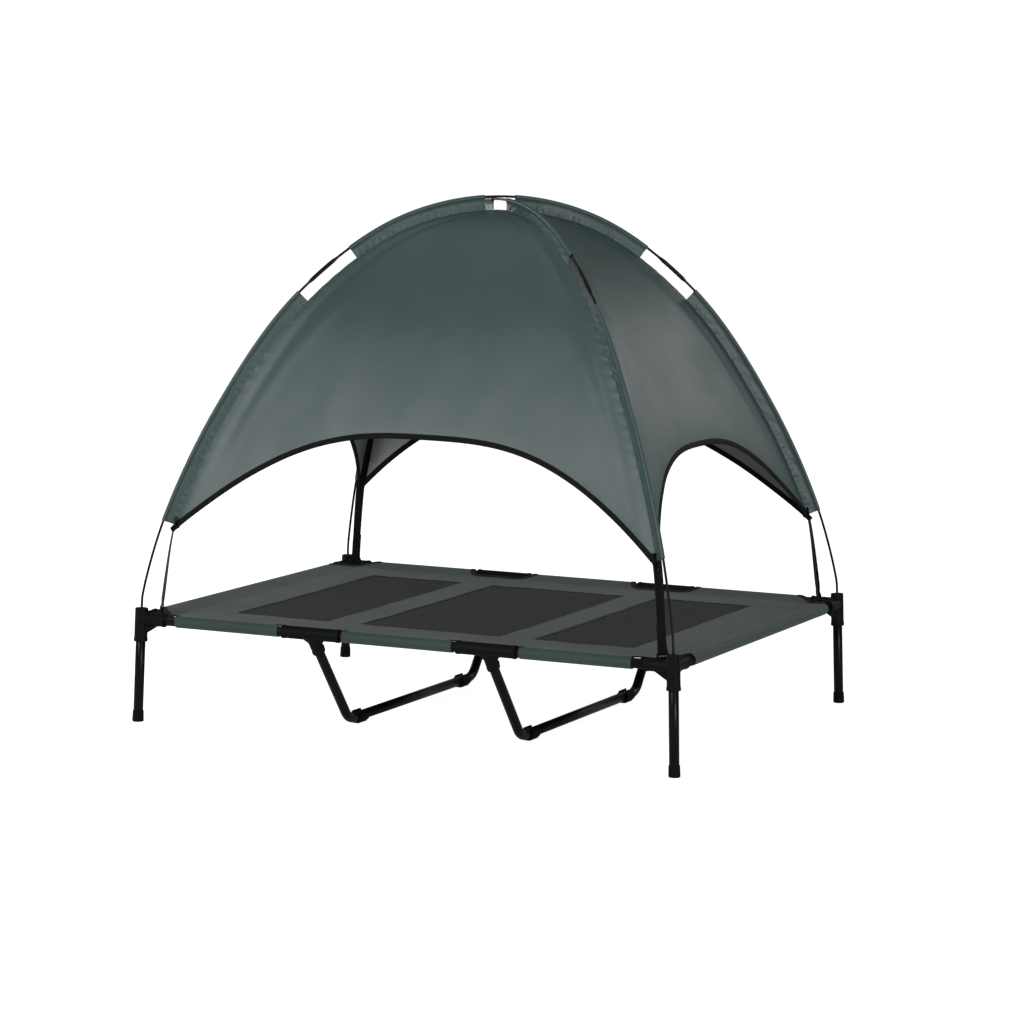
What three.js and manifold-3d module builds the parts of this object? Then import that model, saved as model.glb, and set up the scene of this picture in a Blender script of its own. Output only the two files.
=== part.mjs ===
// A raised dog cot under a domed canopy, in millimetres with +Z up.
// The origin is on the floor under the middle of the bed. +X runs along the long side and -Y faces
// the front. Four plug-in legs carry a tube frame, two bent supports prop its long rails, and two
// crossing poles stand in the corner connectors and carry the canopy.
import * as THREE from 'three';
import { ConvexGeometry } from 'three/addons/geometries/ConvexGeometry.js';
import { mergeVertices } from 'three/addons/utils/BufferGeometryUtils.js';
import Module from 'manifold-3d';

const wasm = await Module();
wasm.setup();

// Overall size.
const LENGTH = 1220;
const DEPTH = 920;
const HEIGHT = 1080;
const BED_HEIGHT = 235;
const GAP = 0.3;

// Steel tubes of the frame.
const TUBE_RADIUS = 10;
const TUBE_WALL = 1.2;
const TUBE_SIDES = 12;
const BORE_RADIUS = TUBE_RADIUS + 0.5;

// Feet, legs and the lean that spreads them outward.
const CAP_RADIUS = 11.8;
const CAP_HEIGHT = 23;
const CAP_FLOOR = 4;
const LEAN_X = 8;
const LEAN_Y = 4;
const FOOT_X = LENGTH / 2 - CAP_RADIUS;
const FOOT_Y = DEPTH / 2 - CAP_RADIUS;

// Corner connectors, named by the place of their socket axis at the top.
const CORNER_X = FOOT_X - LEAN_X;
const CORNER_Y = FOOT_Y - LEAN_Y;
const RAIL_Z = 213;
const SOCKET_RADIUS = 13.5;
const SOCKET_LENGTH = 69;
const LEG_STOP = 42;
const ARM_RADIUS = 13;
const ARM_LENGTH = 57;
const RAIL_STOP = 16;
const RING_HEIGHT = 1.2;
const RING_WIDTH = 7;
const GUSSET_THICKNESS = 5;
const GUSSET_REACH = 38;
const GUSSET_DROP = 36;
const GUSSET_EDGE = 3;
const POLE_HOLE_RADIUS = 3;
const SLOT_WIDTH = 3;
const ANCHOR_RADIUS = 50;
const ANCHOR_TOP = RAIL_Z + 9;
const ANCHOR_THICKNESS = 5;

// Tees on the long rails, and the supports that plug into them.
const TEE_X = 195;
const TEE_LENGTH = 130;
const TEE_STOP = 8;
const STEM_LENGTH = 52;
const STEM_STOP = 15;
const TEE_WEB_REACH = 34;
const TEE_WEB_TOP = 4;
const SUPPORT_FOOT_Y = 285;
const SUPPORT_Z = 13.5;
const BEND_RADIUS = 45;
const JOINT_Y = 232;
const SPIGOT_RADIUS = TUBE_RADIUS - TUBE_WALL - GAP;
const SPIGOT_LENGTH = 24;
const CLIP_LENGTH = 38;
const CLIP_RADIUS = SUPPORT_Z;
const CLIP_MOUTH = (50 * Math.PI) / 180;
const CLIP_SOLE = 6;
const SOLE_ANGLE = Math.PI / 3;
const LIP_REACH = 5;

// Sprung buttons that lock the supports in the tees.
const BUTTON_RADIUS = 4;
const BUTTON_FLANGE_RADIUS = 5.4;
const BUTTON_DISTANCE = 38;
const BUTTON_PROUD = 3.6;
const BUTTON_FLANGE = 1.6;
const BUTTON_BEVEL = 1.5;

// Fabric bed with three mesh panels.
const CLOTH = 1.4;
const SLEEVE_RADIUS = TUBE_RADIUS + 0.5;
const BORDER = 46;
const BORDER_DROP = 10;
const SLEEVE_END = 84;
const TEE_CUT = 78;
const CUT_DEPTH = 30;
const CORNER_CUT = 48;
const TEE_CUT_SLANT = 20;
const MESH_DEPTH = 610;
const MESH_CENTRE_WIDTH = 313;
const MESH_SIDE_WIDTH = 215;
const MESH_STRIP = 76;
const SEAM = 0.4;

// Poles: distance from the middle and height along one diagonal, from the apex down to the socket.
const POLE_RADIUS = 2.5;
const FERRULE_RADIUS = 4.2;
const FERRULE_BORE = POLE_RADIUS + 0.45;
const ROD_SIDES = 8;
const CORNER_DISTANCE = Math.hypot(CORNER_X, CORNER_Y);
const APEX_Z = HEIGHT - 4.2;
const POLE_CROSSING = 5.6;
const POLE_SHAPE = [[212, 1030], [422, 874], [584, 646], [692, 420]];
const POLE_TIP_Z = BED_HEIGHT - 20;

// Canopy: four panels that hang from sleeves on the poles.
const FIN_WIDTH = 25;
const FIN_THICKNESS = 2;
const CHANNEL_RADIUS = 4.4;
const CHANNEL_WALL = 0.9;
const SEAM_ALLOWANCE = 3;
const PANEL_THICKNESS = 1.2;
const PANEL_DRAW_IN = 18;
const LONG_ARCH = 0.235;
const SHORT_ARCH = 0.215;
const ARCH_POWER = 3;
const TIP_Z = 388;
const PANEL_COLUMNS = 6;
const PANEL_ROWS = 8;
const PANEL_TOP = 0.996;
const SLEEVE_TOP = 32;
const SLEEVE_BOTTOM = 694;
const FINE_STEPS = 4000;
const WINDOW = [312, 416];
const FERRULE = [340, 394];

// Straps that tie the canopy's tips down to the connectors.
const STRAP_WIDTH = 20;
const STRAP_THICKNESS = 1.4;
const STRAP_DISTANCE = 40;
const LOOP_WIDTH = 27;
const LOOP_HEIGHT = 11;
const LOOP_THICKNESS = 4;
const LOOP_BAR = 3;
const TONGUE_WIDTH = LOOP_WIDTH - 7;
const TONGUE_THICKNESS = 2.2;

const UP = new THREE.Vector3(0, 0, 1);
const ALONG_X = new THREE.Vector3(1, 0, 0);
const ALONG_Y = new THREE.Vector3(0, 1, 0);
const DIAGONAL_ANGLE = Math.atan2(CORNER_Y, CORNER_X);

const CORNERS = [
  { name: 'front_left', sx: -1, sy: -1 },
  { name: 'front_right', sx: 1, sy: -1 },
  { name: 'back_right', sx: 1, sy: 1 },
  { name: 'back_left', sx: -1, sy: 1 },
];

const material = (color, roughness, metalness = 0) =>
  new THREE.MeshStandardMaterial({ color, roughness, metalness });

const COATED_STEEL = () => material('#17191a', 0.38, 0.3);
const MOULDED_BLACK = () => material('#1b1d1d', 0.55);
const RUBBER = () => material('#161717', 0.8);
const OXFORD = () => material('#4d5a59', 0.85);
const CANOPY_CLOTH = () => material('#445250', 0.8);
const MESH_CLOTH = () => material('#2b2d2d', 0.9);
const WEBBING = () => material('#141515', 0.85);
const FIBREGLASS = () => material('#1a1b1b', 0.35);

const vec = (x, y, z) => new THREE.Vector3(x, y, z);
const along = (point, direction, distance) => point.clone().addScaledVector(direction, distance);

// Booleans -------------------------------------------------------------------------------------

function toManifold(geometry) {
  const bare = geometry.clone();
  bare.deleteAttribute('normal');
  bare.deleteAttribute('uv');
  const merged = mergeVertices(bare, 1e-4);
  return new wasm.Manifold(new wasm.Mesh({
    numProp: 3,
    vertProperties: new Float32Array(merged.attributes.position.array),
    triVerts: new Uint32Array(merged.index.array),
  }));
}

function toGeometry(manifold) {
  const mesh = manifold.getMesh();
  const geometry = new THREE.BufferGeometry();
  geometry.setAttribute('position', new THREE.BufferAttribute(new Float32Array(mesh.vertProperties), 3));
  geometry.setIndex(new THREE.BufferAttribute(new Uint32Array(mesh.triVerts), 1));
  geometry.computeVertexNormals();
  return geometry;
}

// One solid: everything in `added` joined, then everything in `removed` cut away.
function solid(added, removed = []) {
  const whole = wasm.Manifold.union(added.map(toManifold));
  if (!removed.length) return toGeometry(whole);
  return toGeometry(whole.subtract(wasm.Manifold.union(removed.map(toManifold))));
}

// Shapes -----------------------------------------------------------------------------------------

// Moves a solid built along +Y so that it starts at `from` and runs toward `to`.
function aim(geometry, from, to) {
  const turn = new THREE.Quaternion().setFromUnitVectors(ALONG_Y, to.clone().sub(from).normalize());
  return geometry.applyQuaternion(turn).translate(from.x, from.y, from.z);
}

function rod(radius, from, to, sides = TUBE_SIDES) {
  const length = from.distanceTo(to);
  return aim(new THREE.CylinderGeometry(radius, radius, length, sides).translate(0, length / 2, 0), from, to);
}

function pipe(outer, inner, from, to, sides = TUBE_SIDES) {
  const length = from.distanceTo(to);
  const outline = [[inner, 0], [outer, 0], [outer, length], [inner, length], [inner, 0]];
  return aim(new THREE.LatheGeometry(outline.map(([r, y]) => new THREE.Vector2(r, y)), sides), from, to);
}

// A flat plate from an outline in the plane of two axes, centred on that plane.
function plate(outline, thickness, origin, acrossAxis, upAxis) {
  const shape = new THREE.Shape(outline.map(([a, b]) => new THREE.Vector2(a, b)));
  const normal = acrossAxis.clone().cross(upAxis);
  const basis = new THREE.Matrix4().makeBasis(acrossAxis, upAxis, normal).setPosition(origin);
  return new THREE.ExtrudeGeometry(shape, { depth: thickness, bevelEnabled: false })
    .translate(0, 0, -thickness / 2)
    .applyMatrix4(basis);
}

function box(sizeX, sizeY, sizeZ, x, y, z) {
  return new THREE.BoxGeometry(sizeX, sizeY, sizeZ).translate(x, y, z);
}

// A path through given points, so that a straight run takes a single step.
class Route extends THREE.Curve {
  constructor(points) {
    super();
    this.points = points;
  }

  getSpacedPoints() {
    return this.points;
  }

  getTangentAt(share) {
    const last = this.points.length - 1;
    const i = Math.round(share * last);
    const before = this.points[Math.max(i - 1, 0)];
    const after = this.points[Math.min(i + 1, last)];
    return after.clone().sub(before).normalize();
  }
}

function circlePoints(radius, sides) {
  return Array.from({ length: sides }, (_, i) => {
    const angle = (2 * Math.PI * i) / sides;
    return new THREE.Vector2(radius * Math.cos(angle), radius * Math.sin(angle));
  });
}

function sweep(section, points) {
  const extrudePath = new Route(points);
  return new THREE.ExtrudeGeometry(section, { steps: points.length - 1, extrudePath, bevelEnabled: false });
}

function bentRod(radius, points, sides = ROD_SIDES) {
  return sweep(new THREE.Shape(circlePoints(radius, sides)), points);
}

// The route of a bent tube with its corner rounded to a radius.
function bentRoute(start, corner, end, radius, steps) {
  const inward = start.clone().sub(corner).normalize();
  const outward = end.clone().sub(corner).normalize();
  const half = inward.angleTo(outward) / 2;
  const bisector = inward.clone().add(outward).normalize();
  const centre = along(corner, bisector, radius / Math.sin(half));
  const first = along(corner, inward, radius / Math.tan(half)).sub(centre);
  const axis = inward.clone().cross(outward).normalize().negate();
  const sweepAngle = Math.PI - 2 * half;
  const arc = [];
  for (let i = 0; i <= steps; i++) {
    arc.push(first.clone().applyAxisAngle(axis, (sweepAngle * i) / steps).add(centre));
  }
  return [start, ...arc, end];
}

// Frame ------------------------------------------------------------------------------------------

const object = new THREE.Group();

function add(name, geometry, look, parent = object) {
  const mesh = new THREE.Mesh(geometry, look());
  mesh.name = name;
  parent.add(mesh);
  return mesh;
}

const cornerTop = ({ sx, sy }) => vec(sx * CORNER_X, sy * CORNER_Y, BED_HEIGHT);
const footOf = ({ sx, sy }) => vec(sx * FOOT_X, sy * FOOT_Y, 0);
const legDirection = (corner) => footOf(corner).sub(cornerTop(corner)).normalize();
const outward = ({ sx, sy }) => vec(sx * CORNER_X, sy * CORNER_Y, 0).normalize();

function cornerConnector(corner) {
  const { sx, sy } = corner;
  const top = cornerTop(corner);
  const down = legDirection(corner);
  const elbow = vec(top.x, top.y, RAIL_Z);
  const socketEnd = along(top, down, SOCKET_LENGTH);
  const added = [
    rod(SOCKET_RADIUS, top, socketEnd),
    rod(SOCKET_RADIUS + RING_HEIGHT, along(socketEnd, down, -RING_WIDTH), socketEnd),
  ];
  const removed = [
    rod(BORE_RADIUS, along(top, down, LEG_STOP), along(socketEnd, down, 1)),
    rod(POLE_HOLE_RADIUS, vec(top.x, top.y, POLE_TIP_Z - 2), vec(top.x, top.y, BED_HEIGHT + 1), ROD_SIDES),
  ];
  for (const inward of [vec(-sx, 0, 0), vec(0, -sy, 0)]) {
    const end = along(elbow, inward, ARM_LENGTH);
    added.push(rod(ARM_RADIUS, elbow, end));
    added.push(rod(ARM_RADIUS + RING_HEIGHT, along(end, inward, -RING_WIDTH), end));
    const web = [[0, 0], [GUSSET_REACH, GUSSET_EDGE - ARM_RADIUS], [GUSSET_REACH, -ARM_RADIUS],
      [0, -GUSSET_DROP]];
    added.push(plate(web, GUSSET_THICKNESS, elbow, inward, UP));
    removed.push(rod(BORE_RADIUS, along(elbow, inward, RAIL_STOP), along(elbow, inward, ARM_LENGTH + 1)));
  }
  const anchorCentre = vec(top.x, top.y, ANCHOR_TOP - ANCHOR_THICKNESS / 2);
  const quarter = [[0, 0]];
  const steps = 4;
  for (let i = 0; i <= steps; i++) {
    const angle = (Math.PI / 2) * (i / steps);
    quarter.push([ANCHOR_RADIUS * Math.cos(angle), ANCHOR_RADIUS * Math.sin(angle)]);
  }
  added.push(plate(quarter, ANCHOR_THICKNESS, anchorCentre, vec(-sx, 0, 0), vec(0, -sy, 0)));
  const slot = box(SLOT_WIDTH, TONGUE_WIDTH + 2, ANCHOR_THICKNESS + 2, 0, 0, 0);
  slot.rotateZ(Math.atan2(sy * CORNER_Y, sx * CORNER_X));
  const slotCentre = along(anchorCentre, outward(corner), -STRAP_DISTANCE);
  removed.push(slot.translate(slotCentre.x, slotCentre.y, slotCentre.z));
  return solid(added, removed);
}

function legTube(corner) {
  const down = legDirection(corner);
  const top = along(cornerTop(corner), down, LEG_STOP + 1);
  const bottom = along(footOf(corner), down, -CAP_FLOOR - 0.5);
  return pipe(TUBE_RADIUS, TUBE_RADIUS - TUBE_WALL, bottom, top);
}

// The cap leans with its leg and is trimmed flat where it stands on the floor.
function footCap(corner) {
  const down = legDirection(corner);
  const foot = footOf(corner);
  const inner = TUBE_RADIUS + GAP;
  const outline = [[0, -1], [CAP_RADIUS - 1, -1], [CAP_RADIUS, 3], [CAP_RADIUS - 0.4, CAP_HEIGHT],
    [inner, CAP_HEIGHT], [inner, CAP_FLOOR], [0, CAP_FLOOR]];
  const cap = new THREE.LatheGeometry(outline.map(([r, y]) => new THREE.Vector2(r, y)), TUBE_SIDES);
  const floor = box(3 * CAP_RADIUS, 3 * CAP_RADIUS, 10, foot.x, foot.y, -5);
  return solid([aim(cap, foot, along(foot, down, -1))], [floor]);
}

function railPipe(from, to) {
  return pipe(TUBE_RADIUS, TUBE_RADIUS - TUBE_WALL, from, to);
}

function addRails() {
  for (const [side, sy] of [['front', -1], ['back', 1]]) {
    const y = sy * CORNER_Y;
    const stops = [-CORNER_X + RAIL_STOP, -TEE_X - TEE_STOP, -TEE_X + TEE_STOP,
      TEE_X - TEE_STOP, TEE_X + TEE_STOP, CORNER_X - RAIL_STOP];
    ['left', 'middle', 'right'].forEach((place, i) => {
      const from = vec(stops[2 * i] + GAP, y, RAIL_Z);
      const to = vec(stops[2 * i + 1] - GAP, y, RAIL_Z);
      add(`${side}_rail_${place}`, railPipe(from, to), COATED_STEEL);
    });
  }
  for (const [side, sx] of [['left', -1], ['right', 1]]) {
    const reach = CORNER_Y - RAIL_STOP - GAP;
    const from = vec(sx * CORNER_X, -reach, RAIL_Z);
    const to = vec(sx * CORNER_X, reach, RAIL_Z);
    add(`${side}_rail`, railPipe(from, to), COATED_STEEL);
  }
}

// Supports -----------------------------------------------------------------------------------------

const stemDirection = (sy) => vec(0, -sy * (CORNER_Y - SUPPORT_FOOT_Y), SUPPORT_Z - RAIL_Z).normalize();

function buttonHole(x, sy) {
  const at = along(vec(x, sy * CORNER_Y, RAIL_Z), stemDirection(sy), BUTTON_DISTANCE);
  return rod(BUTTON_RADIUS + 0.4, at, along(at, ALONG_X, 2 * SOCKET_RADIUS));
}

function teeConnector(x, sy) {
  const middle = vec(x, sy * CORNER_Y, RAIL_Z);
  const down = stemDirection(sy);
  const stemEnd = along(middle, down, STEM_LENGTH);
  const half = TEE_LENGTH / 2;
  const web = [[-TEE_WEB_REACH, TEE_WEB_TOP], [TEE_WEB_REACH, TEE_WEB_TOP],
    [ARM_RADIUS - 2, TEE_WEB_REACH], [2 - ARM_RADIUS, TEE_WEB_REACH]];
  const added = [
    rod(ARM_RADIUS, along(middle, ALONG_X, -half), along(middle, ALONG_X, half)),
    rod(ARM_RADIUS, middle, stemEnd),
    rod(ARM_RADIUS + RING_HEIGHT, along(stemEnd, down, -RING_WIDTH), stemEnd),
    plate(web, GUSSET_THICKNESS, middle, ALONG_X, down),
  ];
  const removed = [
    rod(BORE_RADIUS, along(middle, down, STEM_STOP), along(middle, down, STEM_LENGTH + 1)),
    buttonHole(x, sy),
  ];
  for (const side of [-1, 1]) {
    const end = along(middle, ALONG_X, side * half);
    added.push(rod(ARM_RADIUS + RING_HEIGHT, along(end, ALONG_X, -side * RING_WIDTH), end));
    removed.push(rod(BORE_RADIUS, along(middle, ALONG_X, side * TEE_STOP), along(end, ALONG_X, side)));
  }
  return solid(added, removed);
}

function supportLeg(x, sy) {
  const start = along(vec(x, sy * CORNER_Y, RAIL_Z), stemDirection(sy), STEM_STOP + 1);
  const corner = vec(x, sy * SUPPORT_FOOT_Y, SUPPORT_Z);
  const end = vec(x, sy * (JOINT_Y + GAP), SUPPORT_Z);
  const route = bentRoute(start, corner, end, BEND_RADIUS, 4);
  const section = new THREE.Shape(circlePoints(TUBE_RADIUS, TUBE_SIDES));
  section.holes.push(new THREE.Path(circlePoints(TUBE_RADIUS - TUBE_WALL, TUBE_SIDES)));
  return solid([sweep(section, route)], [buttonHole(x, sy)]);
}

// The crossbar is drawn in at both ends and plugs into the bent tubes.
function crossbar(x) {
  const end = JOINT_Y + SPIGOT_LENGTH;
  const inner = SPIGOT_RADIUS - TUBE_WALL;
  const outline = [[inner, -end], [SPIGOT_RADIUS, -end], [SPIGOT_RADIUS, -JOINT_Y], [TUBE_RADIUS, -JOINT_Y],
    [TUBE_RADIUS, JOINT_Y], [SPIGOT_RADIUS, JOINT_Y], [SPIGOT_RADIUS, end], [inner, end], [inner, -end]];
  const bar = new THREE.LatheGeometry(outline.map(([r, y]) => new THREE.Vector2(r, y)), TUBE_SIDES);
  return bar.translate(x, 0, SUPPORT_Z);
}

// A snap-on foot: an open ring with a flat sole and two flared lips.
function footClip(x, sy) {
  const arc = (radius, from, to, steps) => Array.from({ length: steps + 1 }, (_, i) => {
    const angle = from + ((to - from) * i) / steps;
    return [radius * Math.cos(angle), radius * Math.sin(angle)];
  });
  const lip = (side, out, up) => [
    side * ((BORE_RADIUS + LIP_REACH) * Math.cos(CLIP_MOUTH) + out),
    (BORE_RADIUS + LIP_REACH) * Math.sin(CLIP_MOUTH) + up,
  ];
  const outline = [
    ...arc(CLIP_RADIUS, CLIP_MOUTH, -Math.PI / 2 + SOLE_ANGLE / 2, 4),
    [CLIP_SOLE, -CLIP_RADIUS],
    [-CLIP_SOLE, -CLIP_RADIUS],
    ...arc(CLIP_RADIUS, -Math.PI / 2 - SOLE_ANGLE / 2, -Math.PI - CLIP_MOUTH, 4),
    lip(-1, 1, 2),
    lip(-1, -1, 3),
    ...arc(BORE_RADIUS, Math.PI - CLIP_MOUTH, 2 * Math.PI + CLIP_MOUTH, 10),
    lip(1, -1, 3),
    lip(1, 1, 2),
  ];
  const centre = vec(x, sy * (JOINT_Y + 4), SUPPORT_Z);
  return solid([plate(outline, CLIP_LENGTH, centre, ALONG_X, UP)]);
}

function snapButton(x, sy) {
  const centre = along(vec(x, sy * CORNER_Y, RAIL_Z), stemDirection(sy), BUTTON_DISTANCE);
  const inside = Math.sqrt((TUBE_RADIUS - TUBE_WALL - GAP) ** 2 - BUTTON_FLANGE_RADIUS ** 2) - GAP;
  const tip = ARM_RADIUS + BUTTON_PROUD;
  const base = inside - BUTTON_FLANGE;
  const outline = [[0, base], [BUTTON_FLANGE_RADIUS, base], [BUTTON_FLANGE_RADIUS, inside],
    [BUTTON_RADIUS, inside], [BUTTON_RADIUS, tip - BUTTON_BEVEL], [BUTTON_RADIUS - BUTTON_BEVEL, tip],
    [0, tip]];
  const pin = new THREE.LatheGeometry(outline.map(([r, y]) => new THREE.Vector2(r, y)), TUBE_SIDES);
  return solid([aim(pin, centre, along(centre, ALONG_X, 1))]);
}

// Bed ----------------------------------------------------------------------------------------------

const CLOTH_TOP = RAIL_Z + SLEEVE_RADIUS + CLOTH;
const CLOTH_Z = CLOTH_TOP - BORDER_DROP - CLOTH / 2;

// Mesh panels: centre and width of each, from left to right.
const MESH_PANELS = [
  { name: 'left', x: -(MESH_CENTRE_WIDTH / 2 + MESH_STRIP + MESH_SIDE_WIDTH / 2), width: MESH_SIDE_WIDTH },
  { name: 'centre', x: 0, width: MESH_CENTRE_WIDTH },
  { name: 'right', x: MESH_CENTRE_WIDTH / 2 + MESH_STRIP + MESH_SIDE_WIDTH / 2, width: MESH_SIDE_WIDTH },
];

// The sheet's outline: cut round each corner connector and round each tee.
function clothOutline() {
  const quarter = [
    [CORNER_X, 0],
    [CORNER_X, CORNER_Y - SLEEVE_END],
    [CORNER_X - CORNER_CUT, CORNER_Y - CORNER_CUT],
    [CORNER_X - SLEEVE_END, CORNER_Y],
    [TEE_X + TEE_CUT, CORNER_Y],
    [TEE_X + TEE_CUT - TEE_CUT_SLANT, CORNER_Y - CUT_DEPTH],
    [TEE_X - TEE_CUT + TEE_CUT_SLANT, CORNER_Y - CUT_DEPTH],
    [TEE_X - TEE_CUT, CORNER_Y],
  ];
  const mirrored = (points, mx, my) => points.map(([x, y]) => [mx * x, my * y]);
  return [
    ...mirrored(quarter.slice(1), 1, 1),
    ...mirrored(quarter.slice(1), -1, 1).reverse(),
    ...mirrored(quarter.slice(1), -1, -1),
    ...mirrored(quarter.slice(1), 1, -1).reverse(),
  ];
}

// A shallow tray: level between the border seams, and rising to the tops of the rails.
function tray(top) {
  const points = [];
  for (const [sx, sy] of [[-1, -1], [1, -1], [1, 1], [-1, 1]]) {
    points.push(vec(sx * CORNER_X, sy * CORNER_Y, top));
    points.push(vec(sx * (CORNER_X - BORDER), sy * (CORNER_Y - BORDER), top - BORDER_DROP));
  }
  return new ConvexGeometry(points);
}

// The cloth's level middle and sloping border, one thickness deep, before it is cut to its outline.
function borderedSheet() {
  const block = toManifold(plate(clothOutline(), 4 * BORDER_DROP, vec(0, 0, RAIL_Z), ALONG_X, ALONG_Y));
  const layer = toManifold(tray(CLOTH_TOP - CLOTH)).subtract(toManifold(tray(CLOTH_TOP)));
  return toGeometry(block.intersect(layer));
}

function bedFabric() {
  const sleeves = [];
  const sleeve = (from, to) => sleeves.push(pipe(SLEEVE_RADIUS + CLOTH, SLEEVE_RADIUS, from, to));
  for (const sy of [-1, 1]) {
    const stops = [-CORNER_X + SLEEVE_END, -TEE_X - TEE_CUT, TEE_CUT - TEE_X, TEE_X - TEE_CUT,
      TEE_X + TEE_CUT, CORNER_X - SLEEVE_END];
    for (let i = 0; i < stops.length; i += 2) {
      sleeve(vec(stops[i], sy * CORNER_Y, RAIL_Z), vec(stops[i + 1], sy * CORNER_Y, RAIL_Z));
    }
  }
  for (const sx of [-1, 1]) {
    const reach = CORNER_Y - SLEEVE_END;
    sleeve(vec(sx * CORNER_X, -reach, RAIL_Z), vec(sx * CORNER_X, reach, RAIL_Z));
  }
  const bores = CORNERS.map(({ sx, sy }, i) => {
    const next = CORNERS[(i + 1) % CORNERS.length];
    return rod(SLEEVE_RADIUS, vec(sx * CORNER_X, sy * CORNER_Y, RAIL_Z),
      vec(next.sx * CORNER_X, next.sy * CORNER_Y, RAIL_Z));
  });
  const windows = MESH_PANELS.map(({ x, width }) => box(width, MESH_DEPTH, 10, x, 0, CLOTH_Z));
  return solid([borderedSheet(), ...sleeves], [...windows, ...bores]);
}

function meshPanel({ width }) {
  return new THREE.BoxGeometry(width - 2 * SEAM, MESH_DEPTH - 2 * SEAM, CLOTH - 0.4);
}

// Poles and canopy -----------------------------------------------------------------------------------

// Half of a pole in the plane of its diagonal: x is the distance from the middle, z the height.
function poleCurve(apexZ) {
  const half = [...POLE_SHAPE, [CORNER_DISTANCE - 2, BED_HEIGHT + 28], [CORNER_DISTANCE, BED_HEIGHT + 3]];
  const points = [
    ...half.slice(0, 2).reverse().map(([s, z]) => vec(-s, 0, z)),
    vec(0, 0, apexZ),
    ...half.map(([s, z]) => vec(s, 0, z)),
  ];
  return new THREE.CatmullRomCurve3(points, false, 'centripetal');
}

// Distances from the middle where a pole's stations start and stop, and the steps between them. The
// poles, ferrules and sleeves all take their stations from here, so that they nest inside each other.
const FERRULE_MIDDLE = (FERRULE[0] + FERRULE[1]) / 2;
const POLE_MARKS = [0, SLEEVE_TOP, WINDOW[0], FERRULE[0], FERRULE_MIDDLE, FERRULE[1], WINDOW[1],
  SLEEVE_BOTTOM, CORNER_DISTANCE];
const POLE_STEPS = [1, 5, 1, 1, 1, 1, 5, 3];

function poleRun(apexZ, from, to) {
  const fine = poleCurve(apexZ).getPoints(FINE_STEPS).filter((p) => p.x >= 0);
  const nearest = (distance) => fine.reduce((best, p, i) =>
    (Math.abs(p.x - distance) < Math.abs(fine[best].x - distance) ? i : best), 0);
  const run = [];
  POLE_MARKS.slice(0, -1).forEach((mark, i) => {
    if (mark < from || mark >= to) return;
    const stretch = fine.slice(nearest(mark), nearest(POLE_MARKS[i + 1]) + 1);
    const points = new THREE.CatmullRomCurve3(stretch).getSpacedPoints(POLE_STEPS[i]);
    run.push(...points.slice(run.length ? 1 : 0));
  });
  return run;
}

const meanApex = APEX_Z - POLE_CROSSING / 2;
const halfPole = poleCurve(meanApex).getSpacedPoints(240).filter((p) => p.x >= 0);

// The line where the canopy panels meet, one fin's width inside the pole.
const ridgeLine = (() => {
  const points = halfPole.map((p, i) => {
    const before = halfPole[Math.max(i - 1, 0)];
    const after = halfPole[Math.min(i + 1, halfPole.length - 1)];
    const tangent = after.clone().sub(before).normalize();
    return vec(Math.max(p.x + tangent.z * FIN_WIDTH, 0), 0, p.z - tangent.x * FIN_WIDTH);
  });
  return new THREE.CatmullRomCurve3(points.filter((p) => p.z >= TIP_Z).reverse());
})();

// A point on the ridge line at a share of its length, moved inward by `inset`.
function ridgePoint(share, inset, reachShare) {
  const along01 = THREE.MathUtils.clamp(share, 0, 1);
  const point = ridgeLine.getPointAt(along01);
  const tangent = ridgeLine.getTangentAt(along01);
  return { half: point.x - (inset * tangent.z) / reachShare, z: point.z + inset * tangent.x };
}

// One canopy panel as a thin closed shell between two ridges. `across` runs from -1 to 1 between
// them, and the arched hem takes the lower part of each upward line away.
function panelShell({ width, reach, turn, arch }) {
  const columns = PANEL_COLUMNS;
  const rows = PANEL_ROWS;
  const widthShare = width / CORNER_DISTANCE;
  const reachShare = reach / CORNER_DISTANCE;
  const seam = FIN_THICKNESS / 2 + GAP;
  const place = (column, row, inset) => {
    const rise = (row / rows) * PANEL_TOP;
    const edge = 1 - seam / (ridgePoint(rise, 0, 1).half * widthShare * reachShare);
    const across = -1 + (1 + edge) * (column / columns);
    const hem = arch * (1 - Math.abs(across) ** ARCH_POWER);
    const height = hem + (1 - hem) * rise;
    const { half, z } = ridgePoint(height, inset, reachShare);
    const drawIn = PANEL_DRAW_IN * (half / CORNER_DISTANCE) * (1 - across * across);
    return vec(across * half * widthShare, drawIn - half * reachShare, z);
  };
  const positions = [];
  for (const inset of [0, PANEL_THICKNESS]) {
    for (let row = 0; row <= rows; row++) {
      for (let column = 0; column <= columns; column++) {
        positions.push(...place(column, row, inset).toArray());
      }
    }
  }
  const stride = columns + 1;
  const layer = stride * (rows + 1);
  const index = [];
  const quad = (a, b, c, d) => index.push(a, b, c, a, c, d);
  for (let row = 0; row < rows; row++) {
    for (let column = 0; column < columns; column++) {
      const a = row * stride + column;
      quad(a, a + 1, a + stride + 1, a + stride);
      quad(layer + a, layer + a + stride, layer + a + stride + 1, layer + a + 1);
    }
    const left = row * stride;
    const right = left + columns;
    quad(left, left + stride, layer + left + stride, layer + left);
    quad(right, layer + right, layer + right + stride, right + stride);
  }
  for (let column = 0; column < columns; column++) {
    const low = column;
    const high = rows * stride + column;
    quad(low, layer + low, layer + low + 1, low + 1);
    quad(high, high + 1, layer + high + 1, layer + high);
  }
  const geometry = new THREE.BufferGeometry();
  geometry.setAttribute('position', new THREE.Float32BufferAttribute(positions, 3));
  geometry.setIndex(index);
  return geometry.rotateZ(turn);
}

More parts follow.
